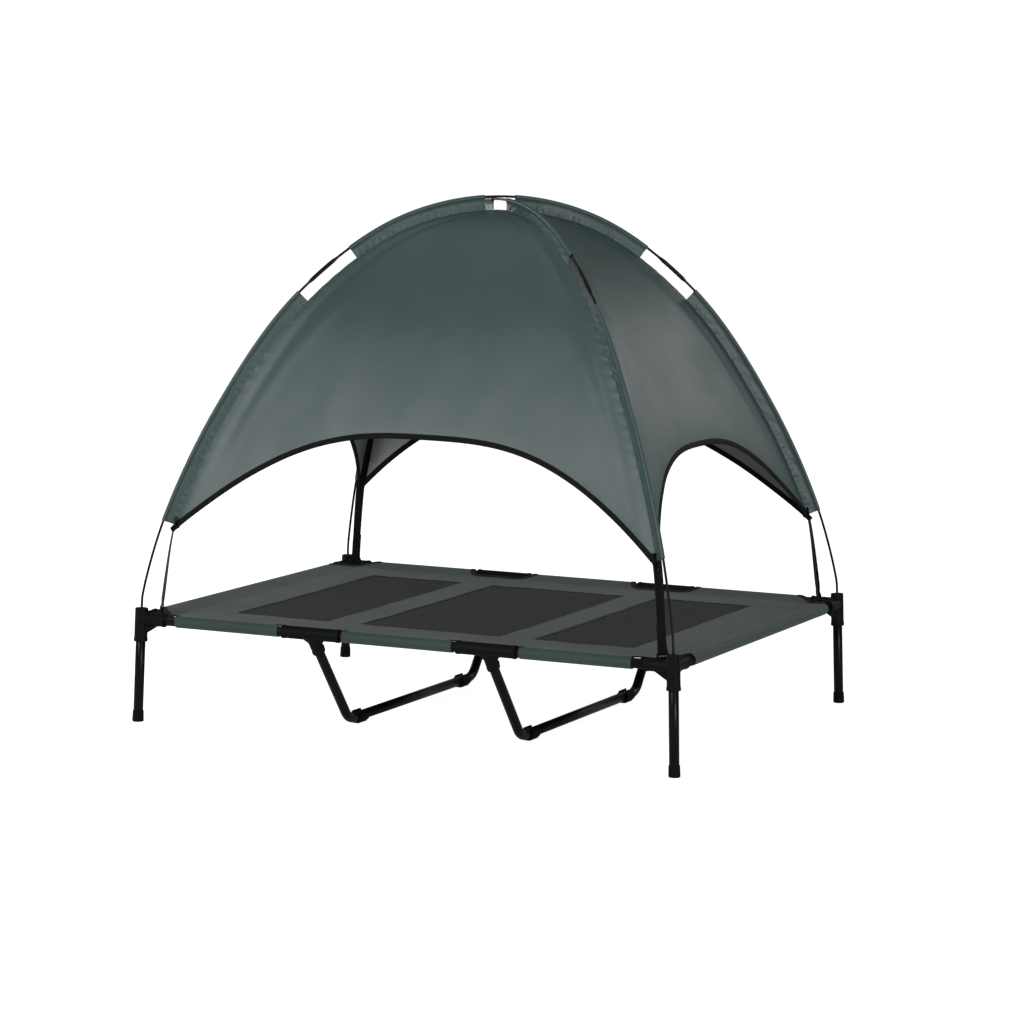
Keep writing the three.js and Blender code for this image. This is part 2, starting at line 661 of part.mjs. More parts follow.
// The section of a sleeve: a channel round the pole, and a flat double layer down to the ridge.
function sleeveSection() {
  const half = FIN_THICKNESS / 2;
  const side = Math.sqrt(CHANNEL_RADIUS ** 2 - half ** 2);
  const points = [new THREE.Vector2(half, FIN_WIDTH + SEAM_ALLOWANCE), new THREE.Vector2(half, side)];
  for (const degrees of [45, 0, -60, -120, 180, 135]) {
    const angle = (degrees * Math.PI) / 180;
    points.push(new THREE.Vector2(CHANNEL_RADIUS * Math.cos(angle), CHANNEL_RADIUS * Math.sin(angle)));
  }
  points.push(new THREE.Vector2(-half, side), new THREE.Vector2(-half, FIN_WIDTH + SEAM_ALLOWANCE));
  const section = new THREE.Shape(points);
  section.holes.push(new THREE.Path(circlePoints(CHANNEL_RADIUS - CHANNEL_WALL, 6)));
  return section;
}

// The two stretches of sleeve on one ridge, above and below the window.
function sleeves(apexZ, angle) {
  return [[SLEEVE_TOP, WINDOW[0]], [WINDOW[1], SLEEVE_BOTTOM]].map(([from, to]) =>
    sweep(sleeveSection(), poleRun(apexZ, from, to)).rotateZ(angle));
}

const PANELS = [
  { name: 'front', width: CORNER_X, reach: CORNER_Y, turn: 0, arch: LONG_ARCH },
  { name: 'right', width: CORNER_Y, reach: CORNER_X, turn: Math.PI / 2, arch: SHORT_ARCH },
  { name: 'back', width: CORNER_X, reach: CORNER_Y, turn: Math.PI, arch: LONG_ARCH },
  { name: 'left', width: CORNER_Y, reach: CORNER_X, turn: -Math.PI / 2, arch: SHORT_ARCH },
];

// The pole from front left to back right passes over the other one.
const apexOf = ({ sx, sy }) => (sx === sy ? APEX_Z : APEX_Z - POLE_CROSSING);
const angleOf = ({ sx, sy }) => Math.atan2(sy * CORNER_Y, sx * CORNER_X);

function canopyPanel(panel, corner) {
  return solid([panelShell(panel), ...sleeves(apexOf(corner), angleOf(corner))]);
}

function lowerPole(corner) {
  const points = poleRun(apexOf(corner), FERRULE_MIDDLE, CORNER_DISTANCE);
  points[0].add(points[1].clone().sub(points[0]).normalize());
  points.push(vec(CORNER_DISTANCE, 0, POLE_TIP_Z));
  return bentRod(POLE_RADIUS, points);
}

// The middle section of a pole, with a ferrule crimped on each end.
function middlePole(apexZ) {
  const right = poleRun(apexZ, 0, FERRULE_MIDDLE);
  const mirror = (points) => points.map((p) => vec(-p.x, 0, p.z)).reverse();
  const whole = [...mirror(right).slice(0, -1), ...right];
  const ferrule = poleRun(apexZ, FERRULE[0], FERRULE[1]);
  const bore = poleRun(apexZ, FERRULE_MIDDLE, WINDOW[1]);
  return solid(
    [bentRod(POLE_RADIUS, whole), bentRod(FERRULE_RADIUS, ferrule), bentRod(FERRULE_RADIUS, mirror(ferrule))],
    [bentRod(FERRULE_BORE, bore), bentRod(FERRULE_BORE, mirror(bore))],
  );
}

// Straps -------------------------------------------------------------------------------------------

const loopFoot = vec(CORNER_DISTANCE - STRAP_DISTANCE, 0, ANCHOR_TOP + GAP);

// An upright webbing loop whose tongue drops into the slot of the connector.
function strapLoop() {
  const ring = box(LOOP_THICKNESS, LOOP_WIDTH, LOOP_HEIGHT, loopFoot.x, 0, loopFoot.z + LOOP_HEIGHT / 2);
  const tongue = box(TONGUE_THICKNESS, TONGUE_WIDTH, ANCHOR_THICKNESS + 1, loopFoot.x, 0,
    loopFoot.z - (ANCHOR_THICKNESS + 1) / 2 + 1);
  const opening = box(LOOP_THICKNESS + 2, LOOP_WIDTH - 2 * LOOP_BAR, LOOP_HEIGHT - 2 * LOOP_BAR,
    loopFoot.x, 0, loopFoot.z + LOOP_HEIGHT / 2);
  return solid([ring, tongue], [opening]);
}

function strap() {
  const top = ridgeLine.getPointAt(0);
  const from = vec(loopFoot.x, 0, loopFoot.z + LOOP_HEIGHT + GAP);
  const to = vec(top.x, 0, TIP_Z - 2);
  const length = from.distanceTo(to);
  const strip = new THREE.BoxGeometry(STRAP_THICKNESS, length, STRAP_WIDTH).translate(0, length / 2, 0);
  return aim(strip, from, to);
}

// Assembly -----------------------------------------------------------------------------------------

for (const corner of CORNERS) {
  add(`corner_connector_${corner.name}`, cornerConnector(corner), MOULDED_BLACK);
  add(`leg_tube_${corner.name}`, legTube(corner), COATED_STEEL);
  add(`foot_cap_${corner.name}`, footCap(corner), RUBBER);
}
addRails();

for (const [place, x] of [['left', -TEE_X], ['right', TEE_X]]) {
  for (const [side, sy] of [['front', -1], ['back', 1]]) {
    add(`tee_connector_${side}_${place}`, teeConnector(x, sy), MOULDED_BLACK);
    add(`support_leg_${side}_${place}`, supportLeg(x, sy), COATED_STEEL);
    add(`foot_clip_${side}_${place}`, footClip(x, sy), RUBBER);
    add(`snap_button_${side}_${place}`, snapButton(x, sy), MOULDED_BLACK);
  }
  add(`support_crossbar_${place}`, crossbar(x), COATED_STEEL);
}

add('bed_fabric', bedFabric(), OXFORD);
for (const panel of MESH_PANELS) {
  add(`mesh_panel_${panel.name}`, meshPanel(panel), MESH_CLOTH).position.set(panel.x, 0, CLOTH_Z);
}

CORNERS.forEach((corner, i) => {
  add(`canopy_panel_${PANELS[i].name}`, canopyPanel(PANELS[i], corner), CANOPY_CLOTH);
  const diagonal = new THREE.Group();
  diagonal.rotation.z = angleOf(corner);
  object.add(diagonal);
  add(`pole_lower_${corner.name}`, lowerPole(corner), FIBREGLASS, diagonal);
  add(`strap_${corner.name}`, strap(), WEBBING, diagonal);
  add(`strap_loop_${corner.name}`, strapLoop(), MOULDED_BLACK, diagonal);
});
add('pole_middle_over', middlePole(APEX_Z), FIBREGLASS).rotation.z = DIAGONAL_ANGLE;
add('pole_middle_under', middlePole(APEX_Z - POLE_CROSSING), FIBREGLASS).rotation.z = -DIAGONAL_ANGLE;

export default object;
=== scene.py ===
"""Looks of a raised dog bed under a domed canopy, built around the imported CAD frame.

Everything is in metres in the frame's own axes: +X along the bed, -Y toward the front, +Z up.
"""
import math

import bmesh
import bpy
import numpy as np
from mathutils import Matrix, Vector
from mathutils.geometry import delaunay_2d_cdt


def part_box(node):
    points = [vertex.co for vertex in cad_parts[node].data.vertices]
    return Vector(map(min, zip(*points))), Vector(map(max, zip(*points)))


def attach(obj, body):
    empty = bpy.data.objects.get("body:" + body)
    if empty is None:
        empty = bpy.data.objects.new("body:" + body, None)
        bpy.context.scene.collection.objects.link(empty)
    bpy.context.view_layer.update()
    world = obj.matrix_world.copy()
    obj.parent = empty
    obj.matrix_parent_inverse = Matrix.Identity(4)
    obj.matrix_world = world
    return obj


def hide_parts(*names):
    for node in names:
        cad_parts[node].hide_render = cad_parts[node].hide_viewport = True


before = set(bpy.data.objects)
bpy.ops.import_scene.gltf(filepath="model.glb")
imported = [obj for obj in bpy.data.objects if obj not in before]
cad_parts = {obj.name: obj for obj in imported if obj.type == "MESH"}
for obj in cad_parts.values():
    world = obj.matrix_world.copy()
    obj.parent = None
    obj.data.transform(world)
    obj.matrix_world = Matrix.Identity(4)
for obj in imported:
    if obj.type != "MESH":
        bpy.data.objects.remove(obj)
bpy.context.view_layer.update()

# Places read from the frame ----------------------------------------------------------------------


def centre(node):
    low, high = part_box(node)
    return (low + high) / 2


def size(node):
    low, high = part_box(node)
    return high - low


TUBE = size("left_rail").x / 2
RAIL_Z = centre("left_rail").z
CORNER_X = centre("right_rail").x
CORNER_Y = centre("back_rail_middle").y
SOCKET_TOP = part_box("corner_connector_front_right")[1].z
TEE_X = centre("tee_connector_back_right").x
TEE_HALF = size("tee_connector_back_right").x / 2
SUPPORT_Z = centre("support_crossbar_left").z
CLIP_Y = centre("foot_clip_back_left").y
CLIP_HALF = size("foot_clip_back_left").y / 2
CAP = 0.0118  # radius of a foot cap
CAP_HEIGHT = size("foot_cap_back_right").z
FOOT_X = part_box("foot_cap_back_right")[1].x - CAP
FOOT_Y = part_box("foot_cap_back_right")[1].y - CAP
POLE = 0.0025
FERRULE = 0.0042
DIAGONAL = math.hypot(CORNER_X, CORNER_Y)

# The poles' half shape as distance from the middle and height, the same as the frame's.
APEX_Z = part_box("pole_middle_over")[1].z - POLE
POLE_CROSSING = 0.0056
POLE_SHAPE = [(0.212, 1.030), (0.422, 0.874), (0.584, 0.646), (0.692, 0.420)]
POLE_TIP_Z = SOCKET_TOP - 0.020

# Canopy. Spans along a pole are distances from its middle, seen from above.
FIN = 0.025
TIP_Z = 0.388
CANOPY_CLOTH = 0.0007
LONG_ARCH = 0.235
SHORT_ARCH = 0.215
ARCH_POWER = 3.0
DRAW_IN = 0.018
SLEEVE_TOP = 0.032
WINDOW = (0.312, 0.416)
SLEEVE_BOTTOM = 0.694
SLEEVES = {"upper": (SLEEVE_TOP, WINDOW[0]), "lower": (WINDOW[1], SLEEVE_BOTTOM)}
FERRULE_SPAN = (0.338, 0.395)
STRAP_IN = 0.040
STRAP_HALF = 0.010
STRAP_THICKNESS = 0.0011
LOOP_FOOT = RAIL_Z + 0.0093

# Bed fabric. BORDER is the sloping edge between a rail and the seam, and BORDER_DROP how far it falls.
SLEEVE = TUBE + 0.0022
CLOTH_TOP = RAIL_Z + SLEEVE
SLEEVE_END = 0.084
CORNER_CUT = 0.038
CORNER_SHOULDER = (0.064, 0.010)
TEE_CUT = 0.073
CUT_DEPTH = 0.030
BORDER = 0.046
BORDER_DROP = 0.0085
SAG = 0.0018
BED_CLOTH = 0.0008
BINDING = 0.010
MESH_HALF_Y = 0.305
MESH_SPANS = [(-0.4475, -0.2325), (-0.1565, 0.1565), (0.2325, 0.4475)]

CORNERS = {
    "front_left": (-1, -1),
    "front_right": (1, -1),
    "back_right": (1, 1),
    "back_left": (-1, 1),
}
TEES = {place: CORNERS[place] for place in ("front_left", "back_left", "front_right", "back_right")}


# Mesh helpers ------------------------------------------------------------------------------------


def unit(v):
    v = np.asarray(v, float)
    return v / np.linalg.norm(v)


def resample(points, count):
    """A line as so many points in even steps."""
    points = np.asarray(points, float)
    reach = travel_along(points)
    even = np.linspace(0, reach[-1], count)
    return np.stack([np.interp(even, reach, points[:, i]) for i in range(points.shape[1])], 1)


def path_length(points):
    return float(np.linalg.norm(np.diff(np.asarray(points, float), axis=0), axis=1).sum())


def travel_along(line):
    """How far along a line each of its points is."""
    return np.concatenate([[0], np.cumsum(np.linalg.norm(np.diff(line, axis=0), axis=1))])


def headings(line):
    """Unit directions of travel along a line."""
    return np.array([unit(v) for v in np.gradient(np.asarray(line, float), axis=0)])


def cloth_uvs(along, across):
    """Flat places for a grid of points, from the distances along its columns and rows."""
    return np.stack(np.meshgrid(along, across), -1)


def spline(points, per_span=40):
    """A centripetal Catmull-Rom curve through the points."""
    p = np.asarray(points, float)
    p = np.vstack([2 * p[0] - p[1], p, 2 * p[-1] - p[-2]])
    out = []
    for a, b, c, d in zip(p, p[1:], p[2:], p[3:]):
        gaps = [np.linalg.norm(y - x) ** 0.5 for x, y in ((a, b), (b, c), (c, d))]
        k = np.concatenate([[0], np.cumsum(gaps)])
        t = np.linspace(k[1], k[2], per_span, endpoint=False)[:, None]
        ab = (k[1] - t) / (k[1] - k[0]) * a + (t - k[0]) / (k[1] - k[0]) * b
        bc = (k[2] - t) / (k[2] - k[1]) * b + (t - k[1]) / (k[2] - k[1]) * c
        cd = (k[3] - t) / (k[3] - k[2]) * c + (t - k[2]) / (k[3] - k[2]) * d
        abc = (k[2] - t) / (k[2] - k[0]) * ab + (t - k[0]) / (k[2] - k[0]) * bc
        bcd = (k[3] - t) / (k[3] - k[1]) * bc + (t - k[1]) / (k[3] - k[1]) * cd
        out.append((k[2] - t) / (k[2] - k[1]) * abc + (t - k[1]) / (k[2] - k[1]) * bcd)
    return np.vstack([*out, p[-2]])


def add_object(name, data):
    obj = bpy.data.objects.new(name, data)
    bpy.context.scene.collection.objects.link(obj)
    return obj


def smooth(mesh):
    mesh.polygons.foreach_set("use_smooth", [True] * len(mesh.polygons))


def make(name, verts, faces, materials, uvs=None):
    """A smooth-shaded mesh object. uvs gives a place in metres for every vertex."""
    mesh = bpy.data.meshes.new(name)
    mesh.from_pydata([tuple(map(float, v)) for v in verts], [], [tuple(map(int, f)) for f in faces])
    for material in materials if isinstance(materials, (list, tuple)) else [materials]:
        mesh.materials.append(material)
    if uvs is not None:
        layer = mesh.uv_layers.new(name="cloth")
        index = np.empty(len(mesh.loops), np.int32)
        mesh.loops.foreach_get("vertex_index", index)
        layer.data.foreach_set("uv", np.asarray(uvs, np.float32)[index].ravel())
    smooth(mesh)
    return add_object(name, mesh)


def grid_faces(rows, columns, wrap=False):
    """Four-sided faces over rows of points."""
    faces = []
    for r in range(rows - 1):
        for c in range(columns if wrap else columns - 1):
            a = r * columns + c
            b = r * columns + (c + 1) % columns
            faces.append((a, b, b + columns, a + columns))
    return faces


def sheet_grid(name, points, materials, uvs=None, wrap=False, caps=False):
    """A mesh over a grid of points (rows, columns, 3), wrapped and capped into a tube if asked."""
    rows, columns = points.shape[:2]
    faces = grid_faces(rows, columns, wrap=wrap)
    if caps:
        faces.append(tuple(range(columns))[::-1])
        faces.append(tuple((rows - 1) * columns + c for c in range(columns)))
    flat_uvs = None if uvs is None else np.asarray(uvs).reshape(-1, 2)
    return make(name, points.reshape(-1, 3), faces, materials, flat_uvs)


def tube_points(path, radii, sides=32, up=(0, 0, 1)):
    """Rings of points around a path, each with its own radius."""
    path = np.asarray(path, float)
    t = headings(path)
    side = np.cross(t[0], up)
    if np.linalg.norm(side) < 1e-3:
        side = np.cross(t[0], (1, 0, 0))
    side = unit(side)
    radii = np.broadcast_to(radii, (len(path),))
    angles = np.linspace(0, 2 * math.pi, sides, endpoint=False)
    rings = []
    for point, tangent, radius in zip(path, t, radii):
        side = unit(side - tangent * np.dot(side, tangent))
        other = np.cross(tangent, side)
        rings.append(point + radius * (np.outer(np.cos(angles), side) + np.outer(np.sin(angles), other)))
    return np.array(rings)


def tube(name, path, radii, material, sides=32):
    """A closed round bar along a path."""
    return sheet_grid(name, tube_points(path, radii, sides), material, wrap=True, caps=True)


def turned(name, start, end, profile, material, sides=40):
    """A turned solid: profile pairs of distance from start toward end, and radius."""
    start, direction = np.asarray(start, float), unit(np.asarray(end, float) - np.asarray(start, float))
    path = np.array([start + direction * d for d, _ in profile])
    side = unit(np.cross(direction, (0, 0, 1) if abs(direction[2]) < 0.9 else (1, 0, 0)))
    other = np.cross(direction, side)
    angles = np.linspace(0, 2 * math.pi, sides, endpoint=False)
    ring = np.outer(np.cos(angles), side) + np.outer(np.sin(angles), other)
    points = np.array([p + max(r, 1e-5) * ring for p, (_, r) in zip(path, profile)])
    return sheet_grid(name, points, material, wrap=True, caps=True)


def rounded(profile, radius, steps=4):
    """Rounds the corners of an open outline."""
    p = [np.asarray(q, float) for q in profile]
    out = [p[0]]
    for before, here, after in zip(p, p[1:], p[2:]):
        a, b = before - here, after - here
        cut = min(radius, np.linalg.norm(a) / 2, np.linalg.norm(b) / 2)
        first, last = here + unit(a) * cut, here + unit(b) * cut
        for i in range(steps + 1):
            s = i / steps
            out.append((1 - s) ** 2 * first + 2 * s * (1 - s) * here + s * s * last)
    out.append(p[-1])
    return out


def plate(name, outline, thickness, origin, across, up, material):
    """A flat plate with an outline in the plane of two axes."""
    across, up = unit(across), unit(up)
    normal = np.cross(across, up)
    n = len(outline)
    verts = [np.asarray(origin) + a * across + b * up + s * normal * thickness / 2
             for s in (-1, 1) for a, b in outline]
    faces = [tuple(range(n))[::-1], tuple(range(n, 2 * n))]
    faces += [(i, (i + 1) % n, n + (i + 1) % n, n + i) for i in range(n)]
    return make(name, verts, faces, material)


def apply_modifiers(obj):
    """Turns what the modifiers make into the mesh itself."""
    bpy.context.view_layer.update()
    mesh = bpy.data.meshes.new_from_object(obj.evaluated_get(bpy.context.evaluated_depsgraph_get()))
    old = obj.data
    obj.modifiers.clear()
    obj.data = mesh
    bpy.data.meshes.remove(old)
    smooth(mesh)
    return obj


def joined(name, objs):
    """The objects' meshes as one object."""
    bm = bmesh.new()
    for obj in objs:
        bm.from_mesh(obj.data)
    mesh = bpy.data.meshes.new(name)
    bm.to_mesh(mesh)
    bm.free()
    for material in objs[0].data.materials:
        mesh.materials.append(material)
    for obj in objs:
        bpy.data.meshes.remove(obj.data)
    return add_object(name, mesh)


def moulded(name, added, removed, voxel=0.0010, keep=0.4):
    """Solids melted into one moulding with soft inner corners, then cut by the removed ones."""
    obj = joined(name, added)
    remesh = obj.modifiers.new("melt", "REMESH")
    remesh.mode = "VOXEL"
    remesh.voxel_size = voxel
    soften = obj.modifiers.new("soften", "SMOOTH")
    soften.factor = 0.5
    soften.iterations = 6
    thin = obj.modifiers.new("thin", "DECIMATE")
    thin.ratio = keep
    apply_modifiers(obj)
    return cut_by(obj, removed)


def cut_by(obj, cutters):
    """Cuts the cutters out of a solid, and removes them."""
    for cutter in cutters:
        cut = obj.modifiers.new("cut", "BOOLEAN")
        cut.operation = "DIFFERENCE"
        cut.solver = "EXACT"
        cut.object = cutter
    apply_modifiers(obj)
    for cutter in cutters:
        bpy.data.objects.remove(cutter)
    shade_by_angle(obj, 40)
    return obj


def shade_by_angle(obj, degrees):
    """Sharp edges where two faces meet at more than an angle."""
    mesh = obj.data
    bm = bmesh.new()
    bm.from_mesh(mesh)
    limit = math.radians(degrees)
    for edge in bm.edges:
        edge.smooth = not (len(edge.link_faces) == 2 and edge.calc_face_angle(0) > limit)
    bm.to_mesh(mesh)
    bm.free()


def settle(obj, body, slot, *nodes):
    """Puts a finished piece on its body and hides the nodes it stands for. Its slot is not used."""
    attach(obj, body)
    if nodes:
        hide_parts(*nodes)
    return obj


def wobble(x, seed, pitch, waves=4):
    """A smooth, seeded wave of about unit height whose waves are about `pitch` long."""
    draw = np.random.default_rng(seed)
    total = np.zeros_like(np.asarray(x, float))
    for _ in range(waves):
        length, start = pitch * draw.uniform(0.6, 1.7), draw.uniform(0, 6.28)
        total += np.sin(2 * math.pi * np.asarray(x) / length + start)
    return total / waves


# Materials ---------------------------------------------------------------------------------------


class Nodes:
    """A short way to write a node tree."""

    def __init__(self, name):
        self.material = bpy.data.materials.new(name)
        self.material.use_nodes = True
        self.tree = self.material.node_tree
        self.shader = self.tree.nodes["Principled BSDF"]

    def add(self, kind, **settings):
        node = self.tree.nodes.new(kind)
        for key, value in settings.items():
            setattr(node, key, value)
        return node

    def link(self, source, target):
        self.tree.links.new(source, target)

    def math(self, operation, a, b=0.0, c=0.0):
        node = self.add("ShaderNodeMath", operation=operation)
        for socket, value in zip(node.inputs, (a, b, c)):
            if isinstance(value, (int, float)):
                socket.default_value = value
            else:
                self.link(value, socket)
        return node.outputs[0]

    def noise(self, scale, detail):
        node = self.add("ShaderNodeTexNoise")
        node.inputs["Scale"].default_value = scale
        node.inputs["Detail"].default_value = detail
        node.inputs["Roughness"].default_value = 0.5
        self.link(self.place(), node.inputs["Vector"])
        return node.outputs["Fac"]

    def place(self):
        return self.add("ShaderNodeTexCoord").outputs["Object"]

    def cloth_place(self):
        return self.add("ShaderNodeUVMap", uv_map="cloth").outputs["UV"]

    def parts(self, vector):
        node = self.add("ShaderNodeSeparateXYZ")
        self.link(vector, node.inputs[0])
        return node.outputs

    def mix(self, amount, a, b):
        node = self.add("ShaderNodeMix", data_type="RGBA")
        for key, value in ((0, amount), (6, a), (7, b)):
            if isinstance(value, (int, float)):
                node.inputs[key].default_value = value
            elif isinstance(value, tuple):
                node.inputs[key].default_value = (*value, 1)
            else:
                self.link(value, node.inputs[key])
        return node.outputs[2]

    def band(self, value, low, high):
        """0 below low, 1 above high, smooth between."""
        node = self.add("ShaderNodeMapRange", interpolation_type="SMOOTHSTEP")
        self.link(value, node.inputs["Value"])
        node.inputs["From Min"].default_value = low
        node.inputs["From Max"].default_value = high
        return node.outputs["Result"]

    def weave(self, pitch):
        """Height of a plain weave with threads `pitch` apart."""
        u, v, _ = self.parts(self.cloth_place())
        step = 2 * math.pi / (2 * pitch)
        warp = self.math("SINE", self.math("MULTIPLY", u, step))
        weft = self.math("SINE", self.math("MULTIPLY", v, step))
        return self.math("MULTIPLY_ADD", self.math("MULTIPLY", warp, weft), 0.5, 0.5)

    def bump(self, height, distance, strength=1.0, after=None):
        node = self.add("ShaderNodeBump")
        node.inputs["Distance"].default_value = distance
        node.inputs["Strength"].default_value = strength
        self.link(height, node.inputs["Height"])
        if after is not None:
            self.link(after, node.inputs["Normal"])
        return node.outputs["Normal"]

    def set(self, **values):
        for key, value in values.items():
            socket = self.shader.inputs[key.replace("_", " ")]
            if isinstance(value, (int, float)):
                socket.default_value = value
            elif isinstance(value, tuple):
                socket.default_value = (*value, 1)
            else:
                self.link(value, socket)
        return self.material


def tinted(color, factor):
    """A colour made lighter or darker."""
    return tuple(min(1.0, c * factor) for c in color)


def coated_cloth(name, color, rough=0.38, specular=0.8, metal=0.0, pitch=0.0009):
    """A coated plain weave: fine threads, faint patches, and a little wear."""
    n = Nodes(name)
    weave = n.weave(pitch)
    patches = n.band(n.noise(5.0, 4), 0.35, 0.7)
    streaks = n.noise(60.0, 3)
    shade = n.mix(patches, tinted(color, 0.93), tinted(color, 1.06))
    shade = n.mix(n.math("MULTIPLY", weave, 0.30), shade, tinted(color, 0.72))
    shade = n.mix(n.math("MULTIPLY", n.band(streaks, 0.55, 0.8), 0.25), shade, tinted(color, 1.2))
    roughness = n.math("MULTIPLY_ADD", patches, 0.08, rough)
    normal = n.bump(weave, 0.00008, 0.6, after=n.bump(n.noise(22.0, 3), 0.0012, 0.25))
    n.shader.inputs["Specular IOR Level"].default_value = specular
    n.shader.inputs["Metallic"].default_value = metal
    return n.set(Base_Color=shade, Roughness=roughness, Normal=normal)


def bed_cloth(name, color):
    """The bed's Oxford cloth, with its sewn seams in line with the mesh panels and round the border."""
    n = Nodes(name)
    weave = n.weave(0.0011)
    x, y, _ = n.parts(n.place())
    seams = None
    for value, at in ((y, MESH_HALF_Y), (y, CORNER_Y - BORDER), (x, CORNER_X - BORDER)):
        away = n.math("ABSOLUTE", n.math("SUBTRACT", n.math("ABSOLUTE", value), at))
        line = n.math("SUBTRACT", 1.0, n.band(away, 0.0012, 0.0030))
        seams = line if seams is None else n.math("MAXIMUM", seams, line)
    patches = n.band(n.noise(6.0, 4), 0.35, 0.7)
    shade = n.mix(patches, tinted(color, 0.92), tinted(color, 1.07))
    shade = n.mix(n.math("MULTIPLY", weave, 0.35), shade, tinted(color, 0.7))
    shade = n.mix(n.math("MULTIPLY", seams, 0.75), shade, tinted(color, 0.30))
    height = n.bump(n.math("MULTIPLY", seams, -1.0), 0.0006, 0.7, after=n.bump(n.noise(16.0, 3), 0.0015, 0.3))
    normal = n.bump(weave, 0.00016, 0.7, after=height)
    return n.set(Base_Color=shade, Roughness=n.math("MULTIPLY_ADD", patches, 0.07, 0.55), Normal=normal,
                 Sheen_Weight=0.14, Sheen_Roughness=0.5, Specular_IOR_Level=0.37)


def open_mesh(name, color):
    """Knitted mesh: rounded threads with fine holes painted as dark spots, painted shade for what is seen
    through them; a shade lighter along the ribs.
    """
    n = Nodes(name)
    weave = n.weave(0.0012)
    ribs = n.weave(0.0048)
    dust = n.band(n.noise(9.0, 5), 0.45, 0.75)
    holes = n.band(weave, 0.08, 0.30)
    shade = n.mix(n.math("MULTIPLY", ribs, 0.35), tinted(color, 1.15), tinted(color, 0.8))
    shade = n.mix(n.math("MULTIPLY", dust, 0.3), shade, tinted(color, 1.5))
    # painted shade: the holes are not cut but darkened, standing for the shadow seen through them
    shade = n.mix(holes, tinted(color, 0.35), shade)
    return n.set(Base_Color=shade, Roughness=0.75, Normal=n.bump(weave, 0.0004, 0.8),
                 Sheen_Weight=0.08, Sheen_Roughness=0.4, Specular_IOR_Level=0.2)


def tape(name, color, rib=0.0012, stitch_at=None):
    """Woven tape or webbing: ribs across it, and a row of stitches where it is sewn."""
    n = Nodes(name)
    u, v, _ = n.parts(n.cloth_place())
    ribs = n.math("MULTIPLY_ADD", n.math("SINE", n.math("MULTIPLY", u, 2 * math.pi / rib)), 0.5, 0.5)
    cross = n.weave(rib * 0.8)
    height = n.math("MULTIPLY_ADD", ribs, 0.6, n.math("MULTIPLY", cross, 0.4))
    shade = n.mix(n.math("MULTIPLY", height, 0.5), tinted(color, 0.7), tinted(color, 1.5))
    if stitch_at:
        total = None
        for at in stitch_at:
            near = n.math("LESS_THAN", n.math("ABSOLUTE", n.math("SUBTRACT", v, at)), 0.0005)
            dash = n.math("GREATER_THAN", n.math("SINE", n.math("MULTIPLY", u, 2 * math.pi / 0.0036)), -0.35)
            one = n.math("MULTIPLY", near, dash)
            total = one if total is None else n.math("MAXIMUM", total, one)
        shade = n.mix(n.math("MULTIPLY", total, 0.6), shade, tinted(color, 3.0))
        height = n.math("ADD", height, total)
    return n.set(Base_Color=shade, Roughness=0.72, Normal=n.bump(height, 0.00025, 0.8),
                 Sheen_Weight=0.05, Sheen_Roughness=0.4, Specular_IOR_Level=0.2)


def powder_coat(name, color):
    """Smooth black coating on steel, with a fine peel and a few smudges."""
    n = Nodes(name)
    peel = n.noise(240.0, 2)
    smudge = n.band(n.noise(14.0, 4), 0.4, 0.75)
    shade = n.mix(smudge, color, tinted(color, 1.35))
    return n.set(Base_Color=shade, Roughness=n.math("MULTIPLY_ADD", smudge, 0.14, 0.26),
                 Normal=n.bump(peel, 0.00003, 0.5), Specular_IOR_Level=0.20)


def moulded_plastic(name, color, rough=0.46):
    """Grained plastic or rubber."""
    n = Nodes(name)
    grain = n.noise(1700.0, 2)
    flow = n.band(n.noise(35.0, 4), 0.4, 0.7)
    shade = n.mix(flow, tinted(color, 0.9), tinted(color, 1.25))
    return n.set(Base_Color=shade, Roughness=n.math("MULTIPLY_ADD", flow, 0.12, rough),
                 Normal=n.bump(grain, 0.00007, 0.7, after=n.bump(n.noise(120.0, 2), 0.0002, 0.25)),
                 Specular_IOR_Level=0.09)


def plain_floor(name, color):
    """A pale floor that the camera sees nearly white, and that throws back less light on the object."""
    n = Nodes(name)
    seen = n.add("ShaderNodeLightPath").outputs["Is Camera Ray"]
    shade = n.mix(n.noise(1.5, 2), tinted(color, 0.995), color)
    shade = n.mix(seen, tinted(color, 0.55), shade)
    glow = n.math("MULTIPLY_ADD", seen, 0.76, 0.16)
    return n.set(Base_Color=shade, Roughness=0.9, Specular_IOR_Level=0.0, Emission_Color=(1.0, 1.0, 1.0),
                 Emission_Strength=glow)


CANOPY_GREY = (0.059, 0.112, 0.108)
BED_GREY = (0.051, 0.090, 0.084)
BLACK = (0.0035, 0.0037, 0.0035)

canopy_outside = coated_cloth("canopy_outside", CANOPY_GREY)
canopy_inside = coated_cloth("canopy_silver_inside", (0.44, 0.45, 0.45), rough=0.32, specular=0.5, metal=0.45)
sleeve_cloth = coated_cloth("canopy_sleeve_cloth", CANOPY_GREY, rough=0.41, specular=0.7)
bed_grey = bed_cloth("bed_oxford", BED_GREY)
mesh_dark = open_mesh("bed_mesh", (0.020, 0.021, 0.020))
binding = tape("black_binding", (0.008, 0.008, 0.0083), stitch_at=(0.0018, 0.0172))
webbing = tape("black_webbing", (0.007, 0.007, 0.0073), rib=0.0016)
hem_binding = tape("black_hem_tape", (0.009, 0.009, 0.0093), stitch_at=(0.0088,))
coated_steel = powder_coat("black_powder_coat", BLACK)
plastic = moulded_plastic("black_moulded", (0.0085, 0.0092, 0.0088))
rubber = moulded_plastic("black_rubber", (0.0070, 0.0073, 0.0070), rough=0.65)
fibreglass = powder_coat("black_fibreglass", (0.008, 0.008, 0.008))


# Camera, floor and light -------------------------------------------------------------------------


CAMERA_TURN = (25.5754, 7.3491, 0.5728)  # azimuth, elevation and roll, in degrees
CAMERA_PLACE = (3.17037, -6.55254, 1.36061)
LENS_MM = 124.077
SENSOR_MM = 36


